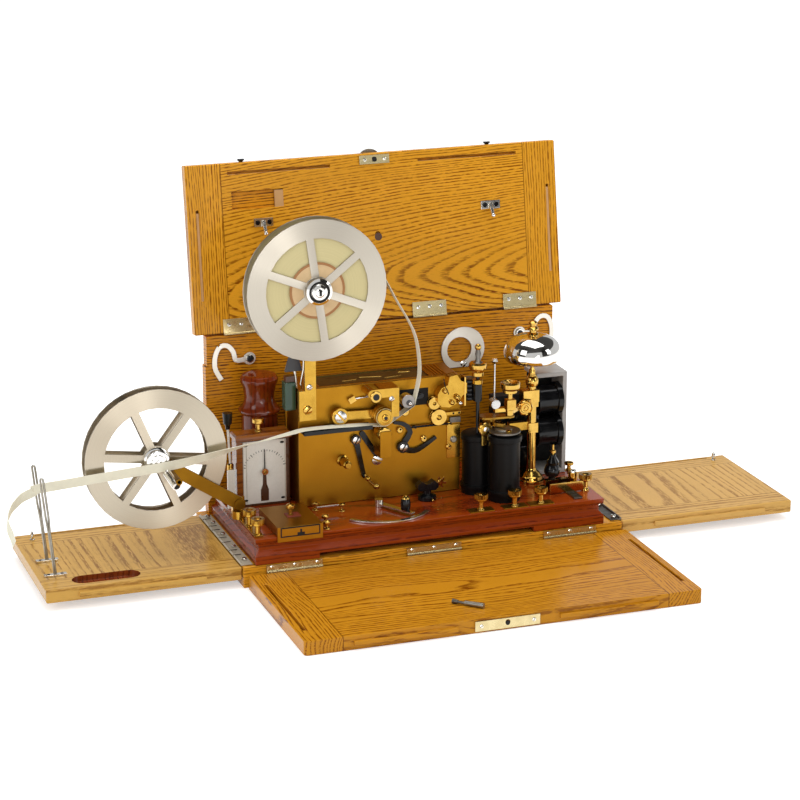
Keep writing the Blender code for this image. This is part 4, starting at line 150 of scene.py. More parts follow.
def on_lid(x, up, proud=0.0):
    """A place on the leaning lid, in millimetres: across, up from the pins, and in front of their plane."""
    return LID_PIVOT + Vector((x / 1000 - LID_PIVOT.x, 0, 0)) + LID_BACK @ mm(0, -proud, up)


# Shader nodes

def wire(tree, kind, feeds=None, **options):
    """Adds a node, sets its options, and feeds its sockets with values or with other sockets."""
    node = tree.nodes.new(kind)
    for option, value in options.items():
        setattr(node, option, value)
    for socket, value in (feeds or {}).items():
        if isinstance(value, bpy.types.NodeSocket):
            tree.links.new(value, node.inputs[socket])
        else:
            node.inputs[socket].default_value = value
    return node


def sum_up(tree, operation, first, second=0.0):
    """One sum of numbers in a shader tree."""
    return wire(tree, "ShaderNodeMath", {0: first, 1: second}, operation=operation).outputs[0]


def vector_sum(tree, operation, first, second):
    return wire(tree, "ShaderNodeVectorMath", {0: first, 1: second}, operation=operation).outputs[0]


def toned(colour, share=1.0):
    """A colour for a socket, darkened by a share."""
    return (*(value * share for value in colour), 1)


def mix_colour(tree, share, first, second):
    return wire(tree, "ShaderNodeMix", {0: share, 6: first, 7: second}, data_type="RGBA").outputs[2]


def far_from_axis(tree, first, second):
    """The distance from an axis, from the two coordinates square to it."""
    squares = sum_up(tree, "ADD", sum_up(tree, "MULTIPLY", first, first),
                     sum_up(tree, "MULTIPLY", second, second))
    return sum_up(tree, "SQRT", squares)


def mix_vector(tree, share, first, second):
    return wire(tree, "ShaderNodeMix", {0: share, 4: first, 5: second}, data_type="VECTOR").outputs[1]


def ramp(tree, value, low, high, low_out=0.0, high_out=1.0):
    """A value spread from one range to another and held inside it."""
    feeds = {"Value": value, "From Min": low, "From Max": high, "To Min": low_out, "To Max": high_out}
    return wire(tree, "ShaderNodeMapRange", feeds, clamp=True).outputs["Result"]


def noise(tree, vector, scale, detail, roughness=0.5):
    feeds = {"Vector": vector, "Scale": scale, "Detail": detail, "Roughness": roughness}
    return wire(tree, "ShaderNodeTexNoise", feeds)


def new_group(name, inputs, outputs):
    """A shader group with named sockets: (group, its input node's sockets, its output node)."""
    group = bpy.data.node_groups.new(name, "ShaderNodeTree")
    kinds = {"value": "NodeSocketFloat", "vector": "NodeSocketVector", "colour": "NodeSocketColor"}
    for label, kind, start in inputs:
        socket = group.interface.new_socket(name=label, in_out="INPUT", socket_type=kinds[kind])
        if start is not None:
            socket.default_value = start
    for label, kind in outputs:
        group.interface.new_socket(name=label, in_out="OUTPUT", socket_type=kinds[kind])
    entry = group.nodes.new("NodeGroupInput")
    return group, entry.outputs, group.nodes.new("NodeGroupOutput")


def make_timber_group():
    """Growth rings about X, long wavy fibres along X, and open pores."""
    inputs = [("Vector", "vector", None), ("Ring Spacing", "value", 0.004), ("Waver", "value", 0.02),
              ("Pore Share", "value", 0.5)]
    outputs = [("Figure", "value"), ("Pores", "value"), ("Shade", "value"), ("Height", "value")]
    group, given, out = new_group("timber_figure", inputs, outputs)

    def stretched_noise(scale, detail, roughness=0.5):
        return noise(group, vector_sum(group, "MULTIPLY", given["Vector"], scale), 1.0, detail,
                     roughness).outputs[0]
    slow = vector_sum(group, "MULTIPLY", given["Vector"], (4.5, 16.0, 16.0))
    drift = vector_sum(group, "SUBTRACT", noise(group, slow, 1.0, 2.0).outputs["Color"], (0.5, 0.5, 0.5))
    amount = wire(group, "ShaderNodeCombineXYZ", {0: 0.0, 1: given["Waver"], 2: given["Waver"]}).outputs[0]
    bent = vector_sum(group, "ADD", given["Vector"], vector_sum(group, "MULTIPLY", drift, amount))
    apart = wire(group, "ShaderNodeSeparateXYZ", {0: bent}).outputs
    far = far_from_axis(group, apart[1], apart[2])
    out_from_heart = wire(group, "ShaderNodeCombineXYZ", {0: far, 1: 0.0, 2: 0.0}).outputs[0]
    years = noise(group, out_from_heart, 90.0, 2.0).outputs[0]
    turn = sum_up(group, "ADD", sum_up(group, "DIVIDE", far, given["Ring Spacing"]),
                  sum_up(group, "MULTIPLY", years, 2.6))
    ring = sum_up(group, "FRACT", turn)
    rise = ramp(group, ring, 0.0, 0.14)
    fall = ramp(group, ring, 0.16, 0.60, 1.0, 0.0)
    early = sum_up(group, "MULTIPLY", rise, fall)
    dashes = stretched_noise((95.0, 620.0, 620.0), 2.0, 0.55)
    broken = ramp(group, dashes, 0.38, 0.58, 0.25, 1.0)
    fibres = stretched_noise((38.0, 950.0, 950.0), 3.0, 0.6)
    pores = stretched_noise((150.0, 1500.0, 1500.0), 1.0)
    open_pores = ramp(group, pores, 0.58, 0.66)
    weight = ramp(group, early, 0.0, 1.0, 0.22, 1.0)
    pits = sum_up(group, "MULTIPLY", sum_up(group, "MULTIPLY", open_pores, weight), given["Pore Share"])
    streaks = sum_up(group, "MULTIPLY", early, broken)
    figure = sum_up(group, "MULTIPLY", streaks, ramp(group, fibres, 0.25, 0.75, 0.6, 1.0))
    broad = stretched_noise((3.0, 26.0, 26.0), 3.0)
    height = sum_up(group, "SUBTRACT", sum_up(group, "MULTIPLY", fibres, 0.25), pits)
    figure = ramp(group, figure, 0.10, 0.58)
    for label, value in (("Figure", figure), ("Pores", pits), ("Shade", broad), ("Height", height)):
        group.links.new(value, out.inputs[label])
    return group


def make_tarnish_group():
    """Cloudy patches, fine wipe marks and small specks on metal, varnish or ebonite."""
    inputs = [("Vector", "vector", None), ("Patch Scale", "value", 60.0), ("Speck Scale", "value", 900.0)]
    outputs = [("Patches", "value"), ("Wipes", "value"), ("Specks", "value")]
    group, given, out = new_group("handled_surface", inputs, outputs)
    patches = noise(group, given["Vector"], given["Patch Scale"], 3.0, 0.6).outputs[0]
    slant = {"Vector": given["Vector"], "Rotation": (0.4, 0.9, 0.5), "Scale": (120.0, 2600.0, 120.0)}
    slanted = wire(group, "ShaderNodeMapping", slant).outputs[0]
    wipes = noise(group, slanted, 1.0, 2.0).outputs[0]
    specks = noise(group, given["Vector"], given["Speck Scale"], 1.0).outputs[0]
    group.links.new(ramp(group, patches, 0.36, 0.68), out.inputs["Patches"])
    group.links.new(ramp(group, wipes, 0.4, 0.75), out.inputs["Wipes"])
    group.links.new(ramp(group, specks, 0.66, 0.74), out.inputs["Specks"])
    return group


def make_lathe_group():
    """Fine rings about the Y axis of the vector it is given, as a lathe tool leaves them."""
    inputs = [("Vector", "vector", None), ("Line Scale", "value", 2200.0)]
    group, given, out = new_group("lathe_lines", inputs, [("Lines", "value")])
    apart = wire(group, "ShaderNodeSeparateXYZ", {0: given["Vector"]}).outputs
    far = far_from_axis(group, apart[0], apart[2])
    along = wire(group, "ShaderNodeCombineXYZ", {0: far, 1: 0.0, 2: 0.0}).outputs[0]
    lines = noise(group, along, given["Line Scale"], 3.0, 0.7).outputs[0]
    group.links.new(lines, out.inputs["Lines"])
    return group


GROUPS = {"timber": make_timber_group(), "handled": make_tarnish_group(), "lathe": make_lathe_group()}


def use_group(tree, name, **values):
    """Adds a shader group, feeds its inputs, and returns its outputs."""
    node = tree.nodes.new("ShaderNodeGroup")
    node.node_tree = GROUPS[name]
    for label, value in values.items():
        socket = node.inputs[label.replace("_", " ")]
        if isinstance(value, bpy.types.NodeSocket):
            tree.links.new(value, socket)
        else:
            socket.default_value = value
    return node.outputs


def new_material(name, **constants):
    """A material whose plain sockets are set: (material, its tree, Principled shader, object coordinates)."""
    material = bpy.data.materials.new(name)
    material.use_nodes = True
    tree = material.node_tree
    shader = tree.nodes["Principled BSDF"]
    for label, value in constants.items():
        shader.inputs[label.replace("_", " ")].default_value = value
    place = tree.nodes.new("ShaderNodeTexCoord").outputs["Object"]
    return material, tree, shader, place


def feed(tree, shader, **sockets):
    """Wires sockets to a shader's inputs by name."""
    for label, socket in sockets.items():
        tree.links.new(socket, shader.inputs[label.replace("_", " ")])


def bump(tree, height, distance, strength):
    """Surface directions from a height."""
    feeds = {"Height": height, "Distance": distance, "Strength": strength}
    return wire(tree, "ShaderNodeBump", feeds).outputs["Normal"]


def placed(tree, place, location=(0, 0, 0), rotation=(0, 0, 0), scale=(1, 1, 1)):
    """Coordinates stretched, turned and moved."""
    feeds = {"Vector": place, "Location": location, "Rotation": rotation, "Scale": scale}
    return wire(tree, "ShaderNodeMapping", feeds).outputs[0]


ALONG_X = (0, 0, 0)
ALONG_Y = (0, 0, -QUARTER)
ALONG_Z = (0, QUARTER, 0)
BATTEN_SEAM = 0.0006
FINE_WOOD_HEART = (0.1, 0.05, 0.09)


def oak(name, grain, heart, rings=0.0026, light=(0.78, 0.345, 0.020), dark=(0.195, 0.044, 0.001), board=None,
        cross=None, batten_heart=(0.0, 0.02, 0.30), gloss=0.16, lean=0.0, tilt=0.0, waver=0.012):
    """Varnished oak. heart is where the tree's middle lies beside the board. board is (axis, low, high): the
    end battens lie outside low and high, and their grain runs along cross."""
    material, tree, shader, place = new_material("oak_" + name, Specular_IOR_Level=0.14)
    if lean:
        place = placed(tree, place, rotation=(lean, 0, 0))
    main = placed(tree, place, location=heart, rotation=grain)
    if tilt:
        main = placed(tree, main, rotation=(0, 0, tilt))
    seams = None
    if board:
        axis, low, high = board
        across = wire(tree, "ShaderNodeSeparateXYZ", {0: place}).outputs[axis]
        other = placed(tree, place, location=batten_heart, rotation=cross)
        outside = sum_up(tree, "MAXIMUM", sum_up(tree, "LESS_THAN", across, low),
                         sum_up(tree, "GREATER_THAN", across, high))
        main = mix_vector(tree, outside, main, other)
        near = sum_up(tree, "MINIMUM", sum_up(tree, "ABSOLUTE", sum_up(tree, "SUBTRACT", across, low)),
                      sum_up(tree, "ABSOLUTE", sum_up(tree, "SUBTRACT", across, high)))
        seams = ramp(tree, near, BATTEN_SEAM * 0.5, BATTEN_SEAM, 1.0, 0.0)
    timber = use_group(tree, "timber", Vector=main, Ring_Spacing=rings, Waver=waver, Pore_Share=0.7)
    tone = mix_colour(tree, timber["Figure"], toned(light), toned(dark))
    tone = mix_colour(tree, ramp(tree, timber["Shade"], 0.35, 0.7, 0.0, 0.5), tone, toned(light, 0.80))
    tone = mix_colour(tree, sum_up(tree, "MULTIPLY", timber["Pores"], 0.7), tone, toned(dark, 0.5))
    if seams:
        tone = mix_colour(tree, sum_up(tree, "MULTIPLY", seams, 0.7), tone, toned(dark, 0.5))
    worn = use_group(tree, "handled", Vector=place, Patch_Scale=28.0)
    rough = ramp(tree, worn["Patches"], 0.0, 1.0, gloss, gloss + 0.09)
    feed(tree, shader, Base_Color=tone, Roughness=rough, Normal=bump(tree, timber["Height"], 0.00006, 0.6))
    return material


def fine_wood(name, light, dark, grain=ALONG_X, gloss=0.10):
    """Mahogany or walnut under a hard polish."""
    material, tree, shader, place = new_material(name, Coat_Weight=0.2, Coat_Roughness=0.05,
                                                 Specular_IOR_Level=0.35)
    timber = use_group(tree, "timber", Vector=placed(tree, place, location=FINE_WOOD_HEART, rotation=grain),
                       Ring_Spacing=0.006, Waver=0.02, Pore_Share=0.5)
    tone = mix_colour(tree, timber["Figure"], toned(light), toned(dark))
    tone = mix_colour(tree, ramp(tree, timber["Shade"], 0.3, 0.75, 0.0, 0.6), tone, toned(dark))
    tone = mix_colour(tree, timber["Pores"], tone, toned(dark, 0.35))
    worn = use_group(tree, "handled", Vector=place, Patch_Scale=40.0)
    rough = ramp(tree, worn["Patches"], 0.0, 1.0, gloss, gloss + 0.12)
    feed(tree, shader, Base_Color=tone, Roughness=rough, Normal=bump(tree, timber["Height"], 0.00004, 0.4))
    return material


def metal(name, colour, stained, rough, spread=0.10, scale=70.0):
    """Bare or lacquered metal: cloudy stains, wipe marks and specks."""
    material, tree, shader, place = new_material(name, Metallic=1.0)
    worn = use_group(tree, "handled", Vector=place, Patch_Scale=scale)
    tone = mix_colour(tree, sum_up(tree, "MULTIPLY", worn["Patches"], 0.55), toned(colour), toned(stained))
    tone = mix_colour(tree, sum_up(tree, "MULTIPLY", worn["Specks"], 0.5), tone, toned(stained))
    uneven = sum_up(tree, "ADD", sum_up(tree, "MULTIPLY", worn["Patches"], 0.6),
                    sum_up(tree, "MULTIPLY", worn["Wipes"], 0.4))
    feed(tree, shader, Base_Color=tone, Roughness=ramp(tree, uneven, 0.0, 1.0, rough, rough + spread),
         Normal=bump(tree, worn["Wipes"], 0.000008, 0.4))
    return material


def turned_metal(name, colour, centre):
    """Metal faced on a lathe, which draws its highlights out across the rings."""
    material, tree, shader, place = new_material(name, Metallic=1.0, Anisotropic=0.85,
                                                 Anisotropic_Rotation=0.25)
    lathe = use_group(tree, "lathe", Vector=placed(tree, place, location=-centre), Line_Scale=1500.0)
    tone = mix_colour(tree, ramp(tree, lathe["Lines"], 0.3, 0.7), toned(colour), toned(colour, 0.86))
    spin = wire(tree, "ShaderNodeTangent", direction_type="RADIAL", axis="Y").outputs[0]
    feed(tree, shader, Base_Color=tone, Roughness=ramp(tree, lathe["Lines"], 0.25, 0.75, 0.26, 0.36),
         Tangent=spin, Normal=bump(tree, lathe["Lines"], 0.00001, 0.35))
    return material


def glossy_black(name, colour=(0.004, 0.004, 0.0045), rough=0.10):
    """Ebonite, black lacquer or dark glass."""
    material, tree, shader, place = new_material(name, Specular_IOR_Level=0.32)
    worn = use_group(tree, "handled", Vector=place, Patch_Scale=90.0)
    paler = [value * 1.8 + 0.001 for value in colour]
    tone = mix_colour(tree, sum_up(tree, "MULTIPLY", worn["Patches"], 0.6), toned(colour), toned(paler))
    feed(tree, shader, Base_Color=tone, Roughness=ramp(tree, worn["Patches"], 0.0, 1.0, rough, rough + 0.14),
         Normal=bump(tree, worn["Wipes"], 0.00001, 0.3))
    return material


def paper(name, centre, colour):
    """Wound paper tape seen on its edge: many fine layers about the reel's axle."""
    material, tree, shader, place = new_material(name, Specular_IOR_Level=0.25)
    lathe = use_group(tree, "lathe", Vector=placed(tree, place, location=-centre), Line_Scale=900.0)
    tone = mix_colour(tree, ramp(tree, lathe["Lines"], 0.35, 0.7), toned(colour), toned(colour, 0.88))
    feed(tree, shader, Base_Color=tone, Roughness=ramp(tree, lathe["Lines"], 0.3, 0.7, 0.62, 0.75),
         Normal=bump(tree, lathe["Lines"], 0.00005, 0.5))
    return material


def plain_paint(name, colour, rough):
    """Paint, card, enamel or glassy pigment with slight unevenness."""
    material, tree, shader, place = new_material(name)
    worn = use_group(tree, "handled", Vector=place, Patch_Scale=120.0)
    tone = mix_colour(tree, sum_up(tree, "MULTIPLY", worn["Patches"], 0.35), toned(colour),
                      toned(colour, 0.8))
    feed(tree, shader, Base_Color=tone, Roughness=ramp(tree, worn["Patches"], 0.0, 1.0, rough, rough + 0.1))
    return material


def silk_winding(name):
    """Black silk-covered wire wound round a bobbin that stands on end."""
    material, tree, shader, place = new_material(name, Specular_IOR_Level=0.16)
    stretched = placed(tree, place, scale=(90.0, 90.0, 1500.0))
    fibres = noise(tree, stretched, 1.0, 2.0).outputs[0]
    tone = mix_colour(tree, fibres, (0.0008, 0.0008, 0.0008, 1), (0.006, 0.006, 0.006, 1))
    feed(tree, shader, Base_Color=tone, Roughness=ramp(tree, fibres, 0.3, 0.7, 0.30, 0.45),
         Normal=bump(tree, fibres, 0.00008, 0.6))
    return material


SUPPLY_AXLE = middle("supply_reel")
TAKEUP_AXLE = middle("takeup_reel")
M = {
    "oak_board": oak("bottom", ALONG_X, (0.0, 0.06, 0.05)),
    "oak_wall": oak("wall", ALONG_X, (0.0, -0.05, 0.06), rings=0.0030, light=(0.72, 0.280, 0.010),
                    dark=(0.075, 0.014, 0.0005), gloss=0.22, tilt=0.03),
    "oak_lid": oak("lid", ALONG_X, (0.0, 0.015, -0.262), board=(0, -0.1635, 0.161), cross=ALONG_Z,
                   batten_heart=(0.0, 0.02, 0.33), lean=LID_LEAN, tilt=-0.12),
    "oak_front": oak("front_flap", ALONG_X, (0.0, 0.175, 0.030), rings=0.0034, light=(0.60, 0.250, 0.012),
                     dark=(0.205, 0.050, 0.001), board=(0, -0.159, 0.167), cross=ALONG_Y,
                     batten_heart=(0.0, 0.30, 0.05), waver=0.03),
    # The side flaps' paler, greyer tone is partly the oak's own colour and partly a painted sheen of white light
    # on their varnish.
    "oak_left": oak("left_flap", ALONG_Y, (0.0, -0.225, 0.060), rings=0.0075, light=(0.66, 0.370, 0.080),
                    dark=(0.30, 0.125, 0.016), board=(1, -0.050, 0.055), cross=ALONG_X,
                    batten_heart=(0.0, 0.20, 0.05)),
    "oak_right": oak("right_flap", ALONG_Y, (0.0, 0.26, 0.055), rings=0.0060, light=(0.68, 0.390, 0.105),
                     dark=(0.34, 0.155, 0.026), board=(1, -0.050, 0.055), cross=ALONG_X,
                     batten_heart=(0.0, 0.20, 0.05)),
    "mahogany": fine_wood("mahogany", (0.36, 0.050, 0.004), (0.13, 0.014, 0.002)),
    "handset": fine_wood("handset_polish", (0.22, 0.030, 0.004), (0.10, 0.011, 0.002), grain=ALONG_Z,
                         gloss=0.07),
    "walnut": fine_wood("walnut", (0.36, 0.11, 0.012), (0.15, 0.036, 0.005), grain=ALONG_X),
    "brass": metal("lacquered_brass", (0.56, 0.325, 0.050), (0.36, 0.185, 0.020), 0.16),
    "brass_plate": metal("old_brass_plate", (0.43, 0.205, 0.015), (0.33, 0.145, 0.010), 0.34, 0.10, 18.0),
    "brass_dull": metal("dull_brass", (0.27, 0.130, 0.010), (0.20, 0.090, 0.007), 0.42, 0.10, 40.0),
    "brass_bright": metal("bright_brass", (0.66, 0.415, 0.095), (0.46, 0.255, 0.045), 0.10, 0.08, 110.0),
    "satin_nickel": metal("satin_nickel", (0.74, 0.70, 0.62), (0.66, 0.62, 0.54), 0.30, 0.06, 30.0),
    "brown_brass": metal("brown_brass", (0.34, 0.185, 0.028), (0.18, 0.085, 0.012), 0.18, 0.10, 110.0),
    "brass_pale": metal("pale_brass", (0.66, 0.55, 0.30), (0.46, 0.36, 0.17), 0.24, 0.12, 110.0),
    "nickel": metal("worn_nickel", (0.76, 0.73, 0.66), (0.62, 0.59, 0.52), 0.16, 0.10, 45.0),
    "chrome": metal("polished_nickel", (0.88, 0.86, 0.82), (0.74, 0.71, 0.66), 0.035, 0.05, 60.0),
    "supply_nickel": turned_metal("supply_reel_nickel", (0.53, 0.48, 0.40), SUPPLY_AXLE),
    "takeup_nickel": turned_metal("takeup_reel_nickel", (0.53, 0.465, 0.36), TAKEUP_AXLE),
    "steel": metal("screw_steel", (0.70, 0.70, 0.69), (0.56, 0.55, 0.53), 0.20, 0.08, 60.0),
    "dark_steel": metal("dark_steel", (0.20, 0.185, 0.165), (0.09, 0.075, 0.055), 0.30, 0.2, 120.0),
    "grey_steel": metal("grey_steel", (0.36, 0.34, 0.29), (0.20, 0.17, 0.12), 0.30, 0.2, 90.0),
    "black": glossy_black("black_ebonite"),
    "japan": glossy_black("black_japan", (0.004, 0.0038, 0.0036), 0.06),
    "silk": silk_winding("black_silk_winding"),
    "relay_paint": plain_paint("relay_grey", (0.42, 0.40, 0.375), 0.30),
    "wound_paper": paper("wound_paper", SUPPLY_AXLE, (0.74, 0.64, 0.33)),
    "tape": plain_paint("paper_tape_cream", (0.90, 0.86, 0.68), 0.55),
    "ivory": plain_paint("ivory_dial", (0.93, 0.89, 0.79), 0.22),
    "dial_ink": plain_paint("dial_ink", (0.10, 0.075, 0.05), 0.5),
    # Near-black matte paint: the own colour of black parts such as the galvanometer needle, and painted shade in
    # holes, slots, grooves and openings.
    "slot_dark": plain_paint("painted_recess_shade_and_black", (0.010, 0.008, 0.006), 0.8),
    "ink_green": plain_paint("dark_green_bottle", (0.030, 0.075, 0.040), 0.12),
    "red_pad": plain_paint("red_fibre", (0.22, 0.035, 0.015), 0.35),
    "slate": plain_paint("slate_grey", (0.055, 0.055, 0.060), 0.35),
    "red_heartwood": fine_wood("red_heartwood", (0.28, 0.055, 0.010), (0.13, 0.020, 0.004), grain=ALONG_Y),
    # Matte pale paint for the left hinge leaf: the nickel's colour with its gleam painted in as a pale tone.
    "pale_hinge": plain_paint("nickel_hinge_with_painted_gleam", (0.50, 0.45, 0.34), 0.25),
    "slot_wood": plain_paint("pale_slot_wood", (0.60, 0.32, 0.115), 0.45),
    # Orange card: the paper roll's core card, and also a painted glint in the hole through the lid.
    "card": plain_paint("orange_card_and_painted_glint", (0.74, 0.51, 0.26), 0.55),
    "core_ring": plain_paint("core_ring_wood", (0.40, 0.170, 0.045), 0.40),
    # Umber lacquer, which also paints the shade in the hole through the lid.
    "umber": plain_paint("umber_lacquer_and_painted_hole_shade", (0.085, 0.030, 0.010), 0.25),
    "copper": metal("copper_ring", (0.60, 0.24, 0.08), (0.40, 0.14, 0.04), 0.18),
    # Opaque dark glass on the movement's top: its glossy reflections are real, and its near-black colour paints
    # the shade inside the case.
    "glass_with_painted_inner_shade": glossy_black("glass_with_painted_inner_shade", (0.020, 0.012, 0.006), 0.03),
    "ivory_line": plain_paint("ivory_line", (0.50, 0.45, 0.34), 0.4),
}


# Solid shapes, each returned as a bmesh. Plain numbers are millimetres, and places are vectors in metres.

def block(x, y, z, bevel=0.0):
    """A box between pairs of limits."""
    low, high = mm(x[0], y[0], z[0]), mm(x[1], y[1], z[1])
    shape = bmesh.new()
    bmesh.ops.create_cube(shape, size=1)
    bmesh.ops.scale(shape, vec=high - low, verts=shape.verts)
    bmesh.ops.translate(shape, vec=(low + high) / 2, verts=shape.verts)
    if bevel:
        bmesh.ops.bevel(shape, geom=shape.edges[:], offset=bevel / 1000, segments=2, affect="EDGES",
                        profile=0.7)
    return shape


def turning(centre, facing):
    """The matrix that takes a shape drawn about +Z at the origin to a centre, facing another way."""
    return Matrix.Translation(centre) @ UP.rotation_difference(Vector(facing)).to_matrix().to_4x4()


def moved(shape, matrix):
    """The same shape, moved by a matrix."""
    bmesh.ops.transform(shape, matrix=matrix, verts=shape.verts)
    return shape


def turned(rows, centre, facing=UP, sides=ROUND_SIDES):
    """Rows of radius and height, closed on their axis and spun about a line through the centre."""
    profile = [(0, rows[0][1]), *rows, (0, rows[-1][1])]
    profile = [row for row, after in zip(profile, [*profile[1:], None]) if row != after]
    shape = bmesh.new()
    points = [shape.verts.new((radius / 1000, 0, height / 1000)) for radius, height in profile]
    edges = [shape.edges.new(pair) for pair in zip(points, points[1:])]
    bmesh.ops.spin(shape, geom=points + edges, cent=(0, 0, 0), axis=(0, 0, 1), angle=math.tau, steps=sides,
                   use_merge=True)
    bmesh.ops.remove_doubles(shape, verts=shape.verts, dist=FUSE / 10)
    bmesh.ops.recalc_face_normals(shape, faces=shape.faces)
    return moved(shape, turning(centre, facing))


def bar(start, end, radius, tip=None):
    """A round bar between two places; tip is its radius at the end."""
    span = end - start
    rows = [(radius, 0), (radius if tip is None else tip, span.length * 1000)]
    return turned(rows, start, span.normalized(), SMALL_SIDES)


def ball(centre, radius):
    """A round knob about a place."""
    shape = bmesh.new()
    bmesh.ops.create_uvsphere(shape, u_segments=SMALL_SIDES, v_segments=SMALL_SIDES // 2,
                              radius=radius / 1000)
    bmesh.ops.translate(shape, vec=centre, verts=shape.verts)
    return shape


def plate(outline, low, high, along="Y", bevel=0.0):
    """An outline in the plane square to an axis, thickened along that axis."""
    order = {"Y": (0, 2, 1), "Z": (0, 1, 2)}[along]
    shape = bmesh.new()
    face = shape.faces.new([shape.verts.new([(u, v, low)[i] / 1000 for i in order]) for u, v in outline])
    made = bmesh.ops.extrude_face_region(shape, geom=[face])
    raised = [item for item in made["geom"] if isinstance(item, bmesh.types.BMVert)]
    bmesh.ops.translate(shape, vec=[(0, 0, high - low)[i] / 1000 for i in order], verts=raised)
    bmesh.ops.recalc_face_normals(shape, faces=shape.faces)
    if bevel:
        bmesh.ops.bevel(shape, geom=shape.edges[:], offset=bevel / 1000, segments=1, affect="EDGES")
    return shape


def around(steps):
    """Even angles round a circle."""
    return [math.tau * k / steps for k in range(steps)]


def half_round(centre, radius, start):
    """Half a circle of points, from a starting angle."""
    angles = [start + math.pi * step / END_STEPS for step in range(END_STEPS + 1)]
    return [(centre[0] + radius * math.cos(a), centre[1] + radius * math.sin(a)) for a in angles]


def link(start, end, width, tip_width):
    """The outline of a flat lever with round ends."""
    heading = math.atan2(end[1] - start[1], end[0] - start[0])
    return half_round(start, width / 2, heading + QUARTER) + half_round(end, tip_width / 2, heading - QUARTER)


def tube(path, radius, sides=10, close=False):
    """A round wire along a path of places."""
    shape = bmesh.new()
    rings = []
    side = None
    for i, point in enumerate(path):
        ahead = path[(i + 1) % len(path)] if close else path[min(i + 1, len(path) - 1)]
        behind = path[i - 1] if close else path[max(i - 1, 0)]
        run = (ahead - behind).normalized()
        side = run.orthogonal() if side is None else side - side.dot(run) * run
        side.normalize()
        other = run.cross(side)
        rings.append([shape.verts.new(point + (side * math.cos(a) + other * math.sin(a)) * radius / 1000)
                      for a in around(sides)])
    for lower, upper in zip(rings, rings[1:] + ([rings[0]] if close else [])):
        for k in range(sides):
            shape.faces.new((lower[k], lower[(k + 1) % sides], upper[(k + 1) % sides], upper[k]))
    if not close:
        shape.faces.new(rings[0][::-1])
        shape.faces.new(rings[-1])
    bmesh.ops.recalc_face_normals(shape, faces=shape.faces)
    return shape


def disc(point, radius, height, rim=0.0, facing=FRONT):
    """A low round boss that stands on a point, with a sloping rim."""
    rim = rim or height * RIM_SHARE
    return turned([(radius, -DISC_SINK), (radius, height - rim), (radius - rim, height)], point, facing)


def knurled(point, radius, height, facing=FRONT):
    """A milled nut: its edge is cut into fine teeth."""
    outline = []
    for k, angle in enumerate(around(NUT_TEETH * 2)):
        reach = radius * (1.0 if k % 2 else TOOTH_ROOT)
        outline.append((reach * math.cos(angle), reach * math.sin(angle)))
    return moved(plate(outline, 0, height, "Z"), turning(point, facing))


def leaned(shape):
    """A shape drawn upright at the lid's pins, leant back with the lid."""
    return moved(shape, Matrix.Translation(LID_PIVOT) @ LID_BACK.to_4x4() @ Matrix.Translation(-LID_PIVOT))


# Pieces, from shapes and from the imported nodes

def plain_mesh(holder):
    """Turns an object's modifiers into its mesh."""
    ready = holder.evaluated_get(bpy.context.evaluated_depsgraph_get())
    mesh = bpy.data.meshes.new_from_object(ready)
    holder.modifiers.clear()
    holder.data = mesh
    return mesh


def put_in_scene(name, data):
    """A new object in the scene that holds a mesh, a lamp or a camera."""
    holder = bpy.data.objects.new(name, data)
    bpy.context.scene.collection.objects.link(holder)
    return holder


def even_shading(holder):
    """Smooth shading in which each wide flat face keeps its own direction right up to its soft edges."""
    holder.data.shade_smooth()
    holder.data.set_sharp_from_angle(angle=SHARP)
    evener = holder.modifiers.new("even shading", "WEIGHTED_NORMAL")
    evener.mode = "FACE_AREA"
    evener.weight = 100
    evener.keep_sharp = True
    plain_mesh(holder)


def drop_into(mesh, shape, number):
    """Adds a bmesh to a growing one and marks its faces with a material's number."""
    corners = {vertex: mesh.verts.new(vertex.co) for vertex in shape.verts}
    for face in shape.faces:
        made = mesh.faces.new([corners[vertex] for vertex in face.verts])
        made.material_index = number
    shape.free()


def piece(name, node, *shapes):
    """Makes one piece of (shape, material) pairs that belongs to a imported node: it rides that node's body."""
    grown = bmesh.new()
    used = []
    for shape, finish in shapes:
        if M[finish] not in used:
            used.append(M[finish])
        drop_into(grown, shape, used.index(M[finish]))
    mesh = bpy.data.meshes.new(name)
    grown.to_mesh(mesh)
    grown.free()
    for material in used:
        mesh.materials.append(material)
    holder = put_in_scene(name, mesh)
    even_shading(holder)
    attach(holder, BODY_OF[node])
    return holder


def finished(node, finish, bevel):
    """Stands a merged, softly edged copy in for a CAD node, with the node's patches in their own finish."""
    patches = [(mm(*low), mm(*high), material) for low, high, material in PATCHES.get(node, ())]
    mesh = NODES[node].data.copy()
    editor = bmesh.new()
    editor.from_mesh(mesh)
    bmesh.ops.remove_doubles(editor, verts=editor.verts, dist=FUSE)
    bmesh.ops.dissolve_limit(editor, angle_limit=FLAT, verts=editor.verts, edges=editor.edges)
    for face in editor.faces:
        face.material_index = 0
        heart = face.calc_center_median()
        for number, (low, high, _) in enumerate(patches, start=1):
            if all(low[i] <= heart[i] <= high[i] for i in range(3)):
                face.material_index = number
    mesh.materials.clear()
    for material in [finish] + [patch[2] for patch in patches]:
        mesh.materials.append(M[material])
    editor.to_mesh(mesh)
    editor.free()
    holder = put_in_scene(node + "_finished", mesh)
    if bevel:
        edge = holder.modifiers.new("soft edges", "BEVEL")
        edge.width = bevel / 1000
        edge.segments = 2
        edge.limit_method = "ANGLE"
        edge.angle_limit = SHARP
        plain_mesh(holder)
    even_shading(holder)
    holder.data.name = node + "_finished"
    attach(holder, BODY_OF[node])
    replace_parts(holder, node)


# Repeated shapes, made with geometry nodes

